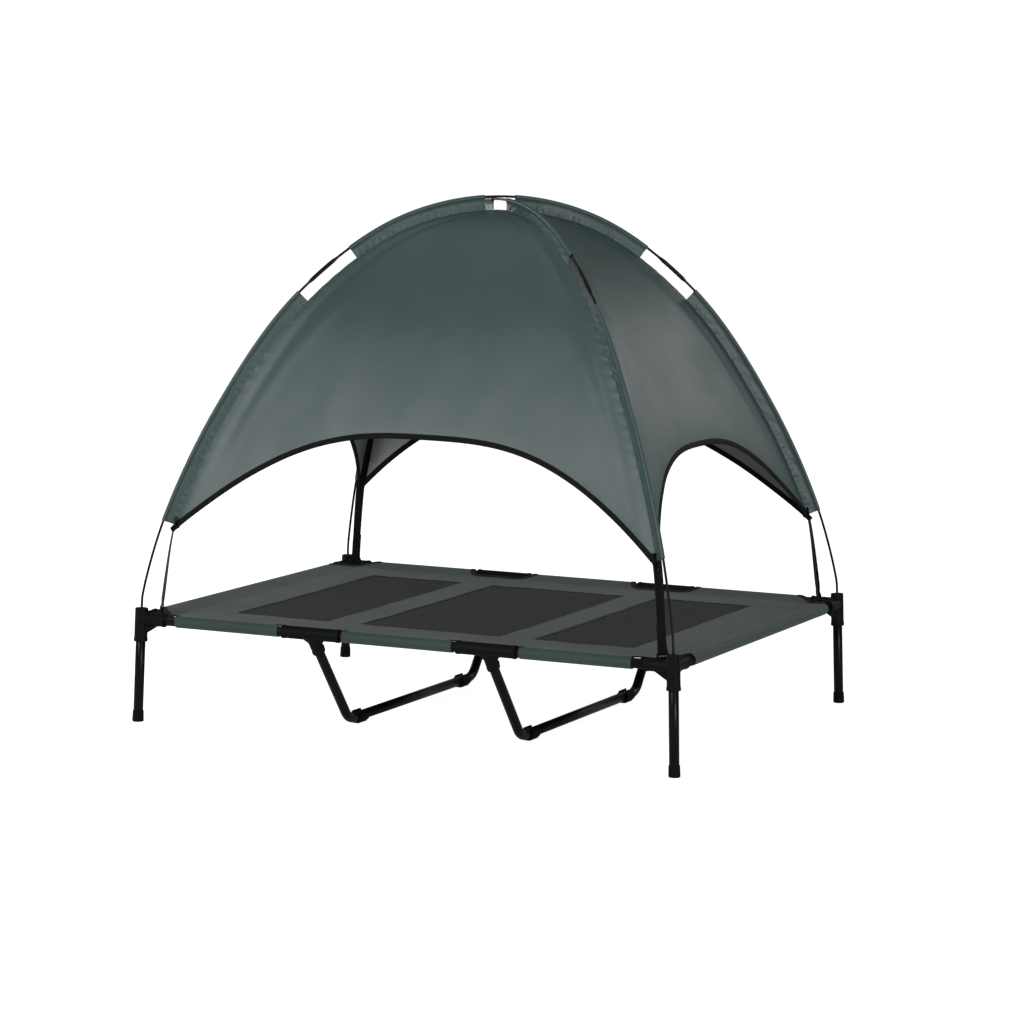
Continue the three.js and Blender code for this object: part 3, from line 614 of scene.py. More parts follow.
def place_camera():
    """The camera that the photo was taken with, as worked out from its labelled sizes."""
    a, e, r = map(math.radians, CAMERA_TURN)
    back = Vector((math.sin(a) * math.cos(e), -math.cos(a) * math.cos(e), math.sin(e)))
    right = Vector((math.cos(a), math.sin(a), 0))
    up = back.cross(right)
    x_axis = math.cos(r) * right + math.sin(r) * up
    y_axis = math.cos(r) * up - math.sin(r) * right
    data = bpy.data.cameras.new("camera")
    data.sensor_width = SENSOR_MM
    data.lens = LENS_MM
    data.clip_end = 100
    camera = add_object("camera", data)
    turn = Matrix((x_axis, y_axis, back)).transposed().to_4x4()
    camera.matrix_world = Matrix.Translation(CAMERA_PLACE) @ turn
    bpy.context.scene.camera = camera


def area_light(name, place, target, width, height, power):
    data = bpy.data.lights.new(name, "AREA")
    data.shape = "RECTANGLE"
    data.size, data.size_y = width, height
    data.energy = power
    light = add_object(name, data)
    light.location = place
    light.rotation_euler = (Vector(target) - Vector(place)).to_track_quat("-Z", "Y").to_euler()


def build_studio():
    """A white room: a pale floor, an even sky and five soft lights."""
    floor = sheet_grid("floor", np.array([[(x, y, 0.0) for x in (-30, 30)] for y in (-30, 30)]),
                       plain_floor("pale_floor", (0.93, 0.93, 0.93)))
    world = bpy.data.worlds.new("studio")
    world.use_nodes = True
    tree = world.node_tree
    dim = tree.nodes["Background"]
    dim.inputs["Strength"].default_value = 0.13
    white = tree.nodes.new("ShaderNodeBackground")
    white.inputs["Color"].default_value = (1, 1, 1, 1)
    dim.inputs["Color"].default_value = (1, 1, 1, 1)
    seen = tree.nodes.new("ShaderNodeLightPath")
    mix = tree.nodes.new("ShaderNodeMixShader")
    tree.links.new(seen.outputs["Is Camera Ray"], mix.inputs[0])
    tree.links.new(dim.outputs[0], mix.inputs[1])
    tree.links.new(white.outputs[0], mix.inputs[2])
    tree.links.new(mix.outputs[0], tree.nodes["World Output"].inputs[0])
    bpy.context.scene.world = world
    area_light("overhead", (0.0, -0.4, 3.6), (0, 0, 0.4), 2.6, 2.6, 11)
    area_light("front_left", (-1.2, -4.8, 2.3), (0, 0, 0.5), 3.0, 1.6, 78)
    area_light("back_right", (2.4, 4.4, 2.3), (0, 0, 0.5), 3.0, 1.6, 20)
    area_light("front_right", (5.0, -3.0, 0.8), (0, 0, 0.5), 2.4, 1.0, 70)
    area_light("left", (-5.0, 0.6, 1.5), (0, 0, 0.3), 2.4, 1.2, 70)
    bpy.context.scene.view_settings.view_transform = "Standard"


# Frame -------------------------------------------------------------------------------------------

SOCKET = 0.0135
SOCKET_LENGTH = 0.069
LEG_STOP = 0.042
ARM = 0.013
ARM_LENGTH = 0.057
RING = 0.0008
RING_WIDTH = 0.007
RIB = 0.005
ANCHOR = 0.050
ANCHOR_Z = RAIL_Z + 0.0065
STEM_LENGTH = 0.052
SUPPORT_FOOT_Y = 0.285
STEM_TILT = unit((0, SUPPORT_FOOT_Y - CORNER_Y, SUPPORT_Z - RAIL_Z))
BUTTON_DISTANCE = 0.038
PIN = 0.004
PIN_HOLE = 0.0044
BORE = TUBE + 0.0005
BORE_DEPTH = 0.03


def ended(length, radius, ring=0.0):
    """Profile of a rod, with a ring at its far end."""
    profile = [(0, 0), (0, radius)]
    if ring:
        profile += [(length - RING_WIDTH, radius), (length - RING_WIDTH, radius + ring),
                    (length, radius + ring)]
    return profile + [(length, radius), (length, 0)]


def tube_at(name, start, end):
    """A straight steel tube with broken edges."""
    start, end = np.asarray(start, float), np.asarray(end, float)
    length = np.linalg.norm(end - start)
    edge = 0.0006
    profile = [(0, 0), (0, TUBE - edge), (edge, TUBE),
               (length - edge, TUBE), (length, TUBE - edge), (length, 0)]
    return turned(name, start, end, profile, coated_steel, sides=48)


def corner_master():
    """The moulded corner of the back right, as the others mirror it."""
    top = np.array([CORNER_X, CORNER_Y, SOCKET_TOP])
    foot = np.array([FOOT_X, FOOT_Y, 0])
    down = unit(foot - top)
    elbow = np.array([CORNER_X, CORNER_Y, RAIL_Z])
    added = [turned("socket", top, foot, ended(SOCKET_LENGTH, SOCKET, RING), plastic)]
    removed = [turned("bore", top + down * (LEG_STOP + 0.006), foot, ended(0.05, BORE), plastic)]
    removed.append(turned("pole_hole", top + (0, 0, 0.002), elbow, ended(0.02, POLE + 0.0006), plastic))
    for inward in (np.array([-1.0, 0, 0]), np.array([0, -1.0, 0])):
        end = elbow + inward
        added.append(turned("arm", elbow, end, ended(ARM_LENGTH, ARM, RING), plastic))
        web = [(0, 0), (0.038, -0.009), (0.038, -0.013), (0.020, -0.024), (0, -0.036)]
        added.append(plate("gusset", web, RIB, elbow, inward, (0, 0, 1), plastic))
        start = elbow + inward * (ARM_LENGTH - 0.012)
        removed.append(turned("rail_bore", start, end, ended(BORE_DEPTH, BORE), plastic))
    arc = [(ANCHOR * math.cos(t), ANCHOR * math.sin(t)) for t in np.linspace(0, math.pi / 2, 17)]
    anchor = np.array([CORNER_X, CORNER_Y, ANCHOR_Z])
    added.append(plate("anchor", [(0, 0), *arc], RIB, anchor, (-1, 0, 0), (0, -1, 0), plastic))
    inward = unit((-CORNER_X, -CORNER_Y, 0))
    side = np.cross(inward, (0, 0, 1))
    slot_outline = [(-0.011, -0.0015), (0.011, -0.0015), (0.011, 0.0015), (-0.011, 0.0015)]
    removed.append(plate("slot", slot_outline, 0.02, anchor + inward * STRAP_IN, side, inward, plastic))
    return moulded("corner_master", added, removed)


def tee_master():
    """The moulded tee of a back rail, centred on X = 0."""
    middle = np.array([0, CORNER_Y, RAIL_Z])
    added = [turned("stem", middle, middle + STEM_TILT, ended(STEM_LENGTH, ARM, RING), plastic)]
    removed = [turned("stem_bore", middle + STEM_TILT * 0.036, middle + STEM_TILT,
                      ended(BORE_DEPTH, BORE), plastic)]
    web = [(-0.034, 0.004), (0.034, 0.004), (0.011, 0.034), (-0.011, 0.034)]
    added.append(plate("web", web, RIB, middle, (1, 0, 0), STEM_TILT, plastic))
    for sx in (-1, 1):
        way = np.array([sx, 0, 0])
        added.append(turned("arm", middle, middle + way, ended(TEE_HALF, ARM, RING), plastic))
        start = middle + way * (TEE_HALF - 0.015)
        removed.append(turned("rail_bore", start, middle + way * 2, ended(BORE_DEPTH, BORE), plastic))
    button = middle + STEM_TILT * BUTTON_DISTANCE
    added.append(turned("boss", button, button + (1, 0, 0), ended(ARM + 0.0012, 0.0066), plastic))
    removed.append(turned("hole", button + (0.004, 0, 0), button + (1, 0, 0),
                          ended(BORE_DEPTH, PIN_HOLE), plastic))
    return moulded("tee_master", added, removed)


def copy_of(source, name, matrix):
    """A moved or mirrored copy of a master piece."""
    mesh = source.data.copy()
    mesh.transform(matrix)
    if matrix.determinant() < 0:
        mesh.flip_normals()
    return add_object(name, mesh)


def build_corners():
    """Corner connectors, legs and foot caps."""
    master = corner_master()
    for place, (sx, sy) in CORNERS.items():
        piece = copy_of(master, f"moulded_corner_{place}", Matrix.Diagonal((sx, sy, 1, 1)))
        settle(piece, "frame", "moulded_plastic", f"corner_connector_{place}")
        top = np.array([sx * CORNER_X, sy * CORNER_Y, SOCKET_TOP])
        foot = np.array([sx * FOOT_X, sy * FOOT_Y, 0.0])
        up = unit(top - foot)
        leg = tube_at(f"leg_{place}", foot + up * 0.005, top - up * (LEG_STOP + 0.001))
        settle(leg, "frame", "coated_steel", f"leg_tube_{place}")
        wall = [(-0.001, CAP - 0.0016), (0.0006, CAP - 0.0005), (0.002, CAP), (0.014, CAP - 0.0002),
                (0.0145, CAP - 0.0006), (0.0155, CAP - 0.0006), (0.016, CAP - 0.0003),
                (CAP_HEIGHT - 0.0010, CAP - 0.0006), (CAP_HEIGHT, CAP - 0.0014), (CAP_HEIGHT, TUBE - 0.001)]
        cap = turned(f"cap_{place}", foot, foot + up, [(-0.001, 0), *wall], rubber, sides=56)
        for vertex in cap.data.vertices:
            vertex.co.z = max(vertex.co.z, 0.0)
        shade_by_angle(cap, 50)
        settle(cap, "frame", "rubber_feet", f"foot_cap_{place}")
    bpy.data.objects.remove(master)


def build_rails():
    for node in ("front_rail_left", "front_rail_middle", "front_rail_right", "left_rail",
                 "back_rail_left", "back_rail_middle", "back_rail_right", "right_rail"):
        low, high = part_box(node)
        middle = (low + high) / 2
        if "front" in node or "back" in node:
            ends = (low.x, middle.y, middle.z), (high.x, middle.y, middle.z)
        else:
            ends = (middle.x, low.y, middle.z), (middle.x, high.y, middle.z)
        settle(tube_at(f"tube_{node}", *ends), "frame", "coated_steel", node)


def bent_route(start, corner, end, radius, steps=28):
    """A path of two straights with a round bend between."""
    a, b = unit(start - corner), unit(end - corner)
    half = math.acos(np.dot(a, b)) / 2
    middle = corner + unit(a + b) * radius / math.sin(half)
    first = corner + a * radius / math.tan(half) - middle
    last = corner + b * radius / math.tan(half) - middle
    turn = math.pi - 2 * half
    arc = [middle + (math.sin((1 - s) * turn) * first + math.sin(s * turn) * last) / math.sin(turn)
           for s in np.linspace(0, 1, steps)]
    return np.array([start, *arc, end])


def stamped(name, outlines, thickness, bevel, origin, across, up, material):
    """A plate with rounded edges; the outlines after the first are holes."""
    curve = bpy.data.curves.new(name, "CURVE")
    curve.dimensions = "2D"
    curve.fill_mode = "BOTH"
    curve.extrude = thickness / 2 - bevel
    curve.bevel_depth = bevel
    curve.bevel_resolution = 2
    curve.offset = -bevel
    for outline in outlines:
        line = curve.splines.new("POLY")
        line.points.add(len(outline) - 1)
        line.use_cyclic_u = True
        for point, (a, b) in zip(line.points, outline):
            point.co = (a, b, 0, 1)
    holder = add_object(name, curve)
    bpy.context.view_layer.update()
    mesh = bpy.data.meshes.new_from_object(holder.evaluated_get(bpy.context.evaluated_depsgraph_get()))
    bpy.data.objects.remove(holder)
    across, up = Vector(unit(across)), Vector(unit(up))
    turn = Matrix((across, up, across.cross(up))).transposed().to_4x4()
    mesh.transform(Matrix.Translation(Vector(origin)) @ turn)
    mesh.materials.clear()
    mesh.materials.append(material)
    smooth(mesh)
    obj = add_object(name, mesh)
    shade_by_angle(obj, 35)
    return obj


def arc_points(radius, start, stop, steps):
    return [(radius * math.cos(math.radians(t)), radius * math.sin(math.radians(t)))
            for t in np.linspace(start, stop, steps)]


def clip_outline():
    """Section of a snap-on foot: a C open upward, a flat sole, and two flared lips."""
    mouth = 50
    lip = arc_points(TUBE + 0.0038, mouth, mouth, 1)[0]
    inner = arc_points(TUBE + 0.0002, 180 - mouth, 360 + mouth, 40)
    return [*arc_points(SUPPORT_Z, mouth, -60, 16), (0.006, -SUPPORT_Z), (-0.006, -SUPPORT_Z),
            *arc_points(SUPPORT_Z, -120, -180 - mouth, 16),
            (-lip[0] - 0.0014, lip[1] + 0.0010), (-lip[0] + 0.0006, lip[1] + 0.0020), *inner,
            (lip[0] - 0.0006, lip[1] + 0.0020), (lip[0] + 0.0014, lip[1] + 0.0010)]


def build_supports():
    """Crossbars, tees, bent legs, snap-on feet and snap buttons."""
    master = tee_master()
    joint_y = size("support_crossbar_left").y / 2 - 0.024
    for side, sx in (("left", -1), ("right", 1)):
        x = sx * TEE_X
        bar = tube_at(f"crossbar_{side}", (x, -joint_y, SUPPORT_Z), (x, joint_y, SUPPORT_Z))
        settle(bar, "frame", "coated_steel", f"support_crossbar_{side}")
    for place, (sx, sy) in TEES.items():
        x = sx * TEE_X
        matrix = Matrix.Translation((x, 0, 0)) @ Matrix.Diagonal((1, sy, 1, 1))
        settle(copy_of(master, f"moulded_tee_{place}", matrix), "frame", "moulded_plastic",
               f"tee_connector_{place}")
        middle = np.array([x, sy * CORNER_Y, RAIL_Z])
        tilt = STEM_TILT * (1, sy, 1)
        route = bent_route(middle + tilt * 0.016, np.array([x, sy * SUPPORT_FOOT_Y, SUPPORT_Z]),
                           np.array([x, sy * (joint_y + 0.0003), SUPPORT_Z]), 0.045)
        leg = tube(f"support_{place}", route, TUBE, coated_steel, sides=40)
        button = middle + tilt * BUTTON_DISTANCE
        hole = turned("hole", button - (0.002, 0, 0), button + (1, 0, 0), ended(0.03, 0.0043), coated_steel)
        cut_by(leg, [hole])
        settle(leg, "frame", "coated_steel", f"support_leg_{place}")
        clip = stamped(f"snap_foot_{place}", [clip_outline()], 2 * CLIP_HALF, 0.0007,
                       (x, sy * abs(CLIP_Y), SUPPORT_Z), (1, 0, 0), (0, 0, 1), rubber)
        settle(clip, "frame", "rubber_feet", f"foot_clip_{place}")
        tip = ARM + 0.0036
        dome = [(0.002, 0), (0.002, PIN), (tip - 0.002, PIN), (tip - 0.0009, 0.0035),
                (tip - 0.0002, 0.002), (tip, 0)]
        pin = turned(f"button_pin_{place}", button, button + (1, 0, 0), dome, plastic, sides=32)
        settle(pin, f"button_{place}", "moulded_plastic", f"snap_button_{place}")
    bpy.data.objects.remove(master)


# Bed ---------------------------------------------------------------------------------------------

ROUND = math.pi * SLEEVE
FLAP = ROUND + 0.052
FLAP_RISE = 2 * SLEEVE - BORDER_DROP - 0.0038


def soft_least(a, b, blend):
    """The smaller of two lengths, with a rounded change from one to the other."""
    return (a + b - np.sqrt((a - b) ** 2 + blend ** 2)) / 2


def sag(x, y):
    """How far the cloth lies below its rails' tops: a sloping border round a nearly level middle."""
    edge = np.maximum(soft_least(CORNER_X - np.abs(x), CORNER_Y - np.abs(y), 0.004), 0)
    border = BORDER_DROP * np.maximum(soft_least(edge, BORDER, 0.014), 0) / BORDER
    middle = SAG * (1 - (x / CORNER_X) ** 2) * (1 - (y / CORNER_Y) ** 2)
    held = np.clip(edge / 0.03, 0, 1)
    away = np.hypot(np.abs(x) - TEE_X, np.abs(y) - CORNER_Y)
    loose = 0.0018 * np.exp(-(away / 0.09) ** 2)
    ripple = 0.0006 * np.sin(np.abs(x) * 61 + 2 * np.sin(np.abs(y) * 9)) * (np.abs(y) / CORNER_Y) ** 3
    slack = 0.0005 * quilt(x, y, 7, 0.16)
    return border + middle + (loose + ripple + slack) * held ** 2 * (3 - 2 * held)


def drape(p, q, lift=0.0):
    """Where a point of the flat-cut bed cloth lies: flat between the rails, then round one of them."""
    p, q = np.asarray(p, float), np.asarray(q, float)
    x, y = np.clip(p, -CORNER_X, CORNER_X), np.clip(q, -CORNER_Y, CORNER_Y)
    z = CLOTH_TOP - sag(x, y) + lift
    past_x, past_y = np.abs(p) - CORNER_X, np.abs(q) - CORNER_Y
    for over, along, is_x in ((past_x, np.sign(p), True), (past_y, np.sign(q), False)):
        turn = np.clip(over / SLEEVE, 0, math.pi)
        back = np.clip((over - ROUND) / (FLAP - ROUND), 0, 1)
        reach = (SLEEVE + lift) * np.sin(turn) - BORDER * back
        height = RAIL_Z + (SLEEVE + lift) * np.cos(turn) + FLAP_RISE * back
        rail = CORNER_X if is_x else CORNER_Y
        z = np.where(over > 0, height, z)
        if is_x:
            x = np.where(over > 0, along * (rail + reach), x)
        else:
            y = np.where(over > 0, along * (rail + reach), y)
    return np.stack([x, y, z], -1)


def corner_cut():
    """Where the cloth is cut back round the back right corner, from the X rail to the Y rail."""
    far, near = CORNER_SHOULDER
    return rounded([(CORNER_X + 0.004, CORNER_Y - SLEEVE_END), (CORNER_X - near, CORNER_Y - far),
                    (CORNER_X - CORNER_CUT, CORNER_Y - CORNER_CUT), (CORNER_X - far, CORNER_Y - near),
                    (CORNER_X - SLEEVE_END, CORNER_Y + 0.004)], 0.012)


def corner_edge():
    """The corner cut with the sides of the flaps next to it."""
    return [(CORNER_X + FLAP, CORNER_Y - SLEEVE_END), *corner_cut(), (CORNER_X - SLEEVE_END, CORNER_Y + FLAP)]


def tee_cut():
    """Where the cloth is cut back round the back right tee, from its right side to its left."""
    right, left = TEE_X + TEE_CUT, TEE_X - TEE_CUT
    return rounded([(right, CORNER_Y + 0.004), (right - 0.014, CORNER_Y - CUT_DEPTH),
                    (left + 0.014, CORNER_Y - CUT_DEPTH), (left, CORNER_Y + 0.004)], 0.020, 8)


def tee_edge():
    """The tee cut with the sides of the flaps next to it."""
    return [(TEE_X + TEE_CUT, CORNER_Y + FLAP), *tee_cut(), (TEE_X - TEE_CUT, CORNER_Y + FLAP)]


def dense(points, step, closed=False):
    """The points of a line with more added so that none are further apart than a step."""
    points = [np.asarray(p, float) for p in points]
    out = []
    pairs = zip(points, points[1:] + points[:1]) if closed else zip(points, points[1:])
    for a, b in pairs:
        count = max(1, math.ceil(np.linalg.norm(b - a) / step))
        out += [a + (b - a) * i / count for i in range(count)]
    return np.array(out if closed else [*out, points[-1]])


def inside(points, polygon):
    """Which points lie inside a closed outline."""
    x, y = points[:, 0], points[:, 1]
    result = np.zeros(len(points), bool)
    for (x1, y1), (x2, y2) in zip(polygon, np.roll(polygon, -1, axis=0)):
        crosses = (y1 > y) != (y2 > y)
        with np.errstate(divide="ignore", invalid="ignore"):
            result ^= crosses & (x < (x2 - x1) * (y - y1) / (y2 - y1) + x1)
    return result


def bed_outline():
    """The cutting outline of the whole cloth, from one quarter mirrored."""
    quarter = [*corner_edge(), *tee_edge()]
    turned_back = quarter[::-1]
    loop = [*quarter, *[(-x, y) for x, y in turned_back],
            *[(-x, -y) for x, y in quarter], *[(x, -y) for x, y in turned_back]]
    return dense(loop, 0.006, closed=True)


def stations(limit, flap):
    """Cutting lines of the cloth: close together where it turns round a rail."""
    flat = np.arange(-limit + 0.006, limit - 0.005, 0.009)
    turn = np.linspace(limit, limit + ROUND, 14)
    back = np.linspace(limit + ROUND, limit + flap, 7)[1:-1]
    side = np.concatenate([turn, back])
    return np.concatenate([-side[::-1], flat, side])


def cut_cloth(outline, windows, ps, qs):
    """Triangles of the flat cloth inside an outline and outside its windows."""
    loops = [outline] + [dense([(a, -MESH_HALF_Y), (b, -MESH_HALF_Y), (b, MESH_HALF_Y), (a, MESH_HALF_Y)],
                               0.009, closed=True) for a, b in windows]
    fixed, edges = [], []
    for loop in loops:
        start = len(fixed)
        fixed += [tuple(p) for p in loop]
        edges += [(start + i, start + (i + 1) % len(loop)) for i in range(len(loop))]
    lattice = np.array([(p, q) for q in qs for p in ps])
    keep = inside(lattice, outline)
    for loop in loops[1:]:
        keep &= ~inside(lattice, loop)
    lattice = lattice[keep]
    border = np.array(fixed)
    near = np.full(len(lattice), np.inf)
    for start in range(0, len(border), 200):
        gap = lattice[:, None, :] - border[None, start:start + 200, :]
        near = np.minimum(near, (gap ** 2).sum(-1).min(1))
    lattice = lattice[near > 0.0022 ** 2]
    flat = [Vector(p) for p in [*fixed, *map(tuple, lattice)]]
    verts, _, faces = delaunay_2d_cdt(flat, edges, [], 0, 1e-7)[:3]
    verts = np.array([tuple(v) for v in verts])
    middles = np.array([verts[list(f)].mean(0) for f in faces])
    good = inside(middles, outline)
    for loop in loops[1:]:
        good &= ~inside(middles, loop)
    faces = [f for f, ok in zip(faces, good) if ok]
    return verts, faces


def thicken(obj, thickness, offset=-1.0, inner=0):
    """Gives a sheet its thickness."""
    solid = obj.modifiers.new("thickness", "SOLIDIFY")
    solid.thickness = thickness
    solid.offset = offset
    solid.material_offset = inner
    return apply_modifiers(obj)


def bed_binding(name, edge, width):
    """A strip of tape folded over an edge of the bed cloth."""
    line = dense(edge, 0.003)
    heading = headings(line)
    inward = np.stack([heading[:, 1], -heading[:, 0]], 1)
    probe = line[len(line) // 2] + inward[len(line) // 2] * 0.01
    if np.linalg.norm(probe) > np.linalg.norm(line[len(line) // 2]):
        inward = -inward
    section = [(0.010, -0.0016), (0.001, -0.0016), (-0.0008, -0.0008), (-0.0008, 0.0004), (0.0008, 0.0011)]
    section += [(width * t, 0.0011) for t in (0.2, 0.4, 0.6, 0.8, 1.0)] + [(width + 0.0004, 0.0002)]
    rows = []
    for shift, lift in section:
        flat = line + inward * shift
        rows.append(drape(flat[:, 0], flat[:, 1], lift))
    travel = travel_along(line)
    across = np.array([s for s, _ in section])
    uvs = cloth_uvs(travel, across)
    return sheet_grid(name, np.array(rows), [binding], uvs)


def build_bed():
    """The bed cloth wrapped round its rails, its bindings and its mesh panels."""
    outline = bed_outline()
    verts, faces = cut_cloth(outline, MESH_SPANS, stations(CORNER_X, FLAP), stations(CORNER_Y, FLAP))
    points = drape(verts[:, 0], verts[:, 1])
    cloth = make("bed_cloth", points, faces, [bed_grey], verts)
    up = sum(p.normal.z for p in cloth.data.polygons if abs(p.center.x) < 0.5 and abs(p.center.y) < 0.4)
    if up < 0:
        cloth.data.flip_normals()
    thicken(cloth, BED_CLOTH)
    tapes = []
    for place, (sx, sy) in CORNERS.items():
        for name, cut in (("corner_binding", corner_cut()), ("tee_binding", tee_cut())):
            tapes.append(bed_binding(f"{name}_{place}", [(sx * x, sy * y) for x, y in cut], BINDING))
    for tape_piece in tapes:
        settle(tape_piece, "frame", "webbing")
    settle(cloth, "frame", "oxford_fabric", "bed_fabric")
    for (a, b), place in zip(MESH_SPANS, ("left", "centre", "right")):
        ps = np.linspace(a - 0.006, b + 0.006, 60)
        qs = np.linspace(-MESH_HALF_Y - 0.006, MESH_HALF_Y + 0.006, 120)
        flat = np.array([[(p, q) for p in ps] for q in qs])
        panel = sheet_grid(f"mesh_{place}", drape(flat[..., 0], flat[..., 1], -0.0012), [mesh_dark], flat)
        settle(panel, "frame", "mesh_fabric", f"mesh_panel_{place}")


# Poles and canopy --------------------------------------------------------------------------------


def pole_half(apex):
    """Half of a pole as distance from the middle and height, from the apex down to the socket."""
    half = [*POLE_SHAPE, (DIAGONAL - 0.002, SOCKET_TOP + 0.028), (DIAGONAL, SOCKET_TOP + 0.003)]
    line = spline([*[(-s, z) for s, z in half[1::-1]], (0, apex), *half], 60)
    return line[line[:, 0] >= -1e-9]


def inward_of(line):
    """Unit normals of a pole's half line, toward the inside of the canopy."""
    heading = headings(line)
    return np.stack([heading[:, 1], -heading[:, 0]], 1)


def ridge_line():
    """Where the panels meet: one fin inside the mean pole, from the canopy's tip up to its crown."""
    line = pole_half(APEX_Z - POLE_CROSSING / 2)
    ridge = line + inward_of(line) * FIN
    ridge[:, 0] = np.maximum(ridge[:, 0], 0)
    ridge = ridge[ridge[:, 1] >= TIP_Z][::-1]
    return resample(ridge, 600)


RIDGE = ridge_line()
RIDGE_LENGTH = path_length(RIDGE)


def ridge_at(share):
    """Distance from the middle and height, at a share of the way up a ridge."""
    share = np.clip(share, 0, 1)
    where = np.linspace(0, 1, len(RIDGE))
    return np.interp(share, where, RIDGE[:, 0]), np.interp(share, where, RIDGE[:, 1])


# Of each panel: width toward its seams, reach toward its middle, turn, and share of its height
# that its arch cuts away.
GORES = [
    (CORNER_X, CORNER_Y, 0, LONG_ARCH),
    (CORNER_Y, CORNER_X, 90, SHORT_ARCH),
    (CORNER_X, CORNER_Y, 180, LONG_ARCH),
    (CORNER_Y, CORNER_X, -90, SHORT_ARCH),
]


def hem_share(gore, u):
    """How far up its ridges the arched hem of a panel lies."""
    return GORES[gore][3] * (1 - np.abs(u) ** ARCH_POWER)


def gore_point(gore, u, share):
    """A point of a canopy panel: u runs between its seams, share up its ridges."""
    width, reach, turn, _ = GORES[gore]
    half, z = ridge_at(share)
    x = u * half * width / DIAGONAL
    y = DRAW_IN * half / DIAGONAL * (1 - u * u) - half * reach / DIAGONAL
    c, s = math.cos(math.radians(turn)), math.sin(math.radians(turn))
    return np.stack([c * x - s * y, s * x + c * y, z + 0 * x], -1)


def quilt(x, y, seed, pitch, waves=7, stretch=1.0):
    """Smooth seeded unevenness in two directions, with waves about `pitch` long."""
    draw = np.random.default_rng(seed)
    total = 0.0
    for _ in range(waves):
        heading = draw.uniform(0, math.pi)
        length, start = pitch * draw.uniform(0.7, 1.6), draw.uniform(0, 6.28)
        along = x * math.cos(heading) + y * math.sin(heading) / stretch
        total = total + np.sin(2 * math.pi * along / length + start)
    return total / math.sqrt(waves)


def seam_unevenness(gore, u, up):
    """The same along a seam for the two panels that meet there."""
    seam = (gore + (u > 0)) % len(GORES)
    return sum(np.where(seam == i, wobble(up, 90 + i, 0.030), 0) for i in range(len(GORES)))


def creases(gore, u, v, share):
    """How far a canopy panel stands off its smooth shape: seam puckers, tip folds and slack."""
    width = GORES[gore][0]
    half, _ = ridge_at(share)
    from_seam = (1 - np.abs(u)) * half * width / DIAGONAL
    across = u * half * width / DIAGONAL
    up = share * RIDGE_LENGTH
    side = np.sign(u)
    near = from_seam / 0.006
    pucker = 0.0012 * near * np.exp(-from_seam / 0.006) * wobble(up + side * 3.1, 11 + gore, 0.013)
    seam = 0.0008 * np.exp(-from_seam / 0.012) * seam_unevenness(gore, u, up)
    broad, fine = quilt(across, up, 31 + gore, 0.24, stretch=1.6), quilt(across, up, 51 + gore, 0.09)
    slack = 0.0007 * broad + 0.0002 * fine
    slack = slack * (1 - np.exp(-from_seam / 0.05))
    groove = -0.0016 * np.exp(-((from_seam - 0.034) / 0.012) ** 2) * np.clip(share * 3, 0.2, 1)
    tip = np.exp(-share / 0.16)
    fan = 0.0022 * tip * np.sin(np.clip(from_seam / 0.045, 0, 6) * math.pi) * np.exp(-from_seam / 0.10)
    drag = 0.0011 * np.exp(-((from_seam - 0.06 - 0.10 * (share - 0.35)) / 0.016) ** 2) * np.exp(
        -((share - 0.45) / 0.16) ** 2)
    hem = -0.002 * np.exp(-v / 0.03) * np.clip(from_seam / 0.10, 0, 1)
    return pucker + seam + slack + groove + fan + drag + hem


def panel_columns(count):
    """Columns across a panel, closer together near its seams."""
    t = np.linspace(-1, 1, count + 1)[:-1]
    return np.sign(t) * (1 - (1 - np.abs(t)) ** 1.7)


def gore_grid(gore, us, vs):
    u, v = np.meshgrid(us, vs)
    share = hem_share(gore, u) + (1 - hem_share(gore, u)) * v
    return u, v, share


def canopy_surface(columns=70, rows=300):
    """Places and flat places of the whole canopy, ring by ring from the hem to the crown."""
    us, vs = panel_columns(columns), np.linspace(0, 0.9985, rows)
    points, flats = [], []
    offset = 0.0
    for gore, (width, _, _, _) in enumerate(GORES):
        u, v, share = gore_grid(gore, us, vs)
        smooth = gore_point(gore, u, share)
        du = gore_point(gore, u + 1e-3, share) - gore_point(gore, u - 1e-3, share)
        dv = gore_point(gore, u, share + 1e-4) - gore_point(gore, u, share - 1e-4)
        normal = np.cross(du, dv)
        normal /= np.linalg.norm(normal, axis=-1, keepdims=True)
        points.append(smooth + normal * creases(gore, u, v, share)[..., None])
        half, _ = ridge_at(share)
        gore_width = width * RIDGE[0, 0] / DIAGONAL
        flats.append(np.stack([offset + gore_width + u * half * width / DIAGONAL, share * RIDGE_LENGTH], -1))
        offset += 2 * gore_width
    return np.concatenate(points, 1), np.concatenate(flats, 1)


def diagonal_frame(sx, sy):
    """Outward and sideways unit vectors of a corner's diagonal."""
    outward = unit((sx * CORNER_X, sy * CORNER_Y, 0))
    return outward, np.cross((0, 0, 1), outward)


def apex_of(sx, sy):
    """Height of the pole of a corner where it crosses the other."""
    return APEX_Z if sx == sy else APEX_Z - POLE_CROSSING


def on_diagonal(line, sx, sy):
    """Places of a line of distances from the middle and heights."""
    outward, _ = diagonal_frame(sx, sy)
    return line[:, :1] * outward + line[:, 1:2] * np.array([0, 0, 1.0])


def stretch_of(line, start, stop, step):
    """The part of a half pole between two distances from the middle, in even steps."""
    part = line[(line[:, 0] > start) & (line[:, 0] < stop)]
    ends = [np.array([d, np.interp(d, line[:, 0], line[:, 1])]) for d in (start, stop)]
    part = np.vstack([ends[0], part, ends[1]])
    return resample(part, max(4, int(path_length(part) / step)))


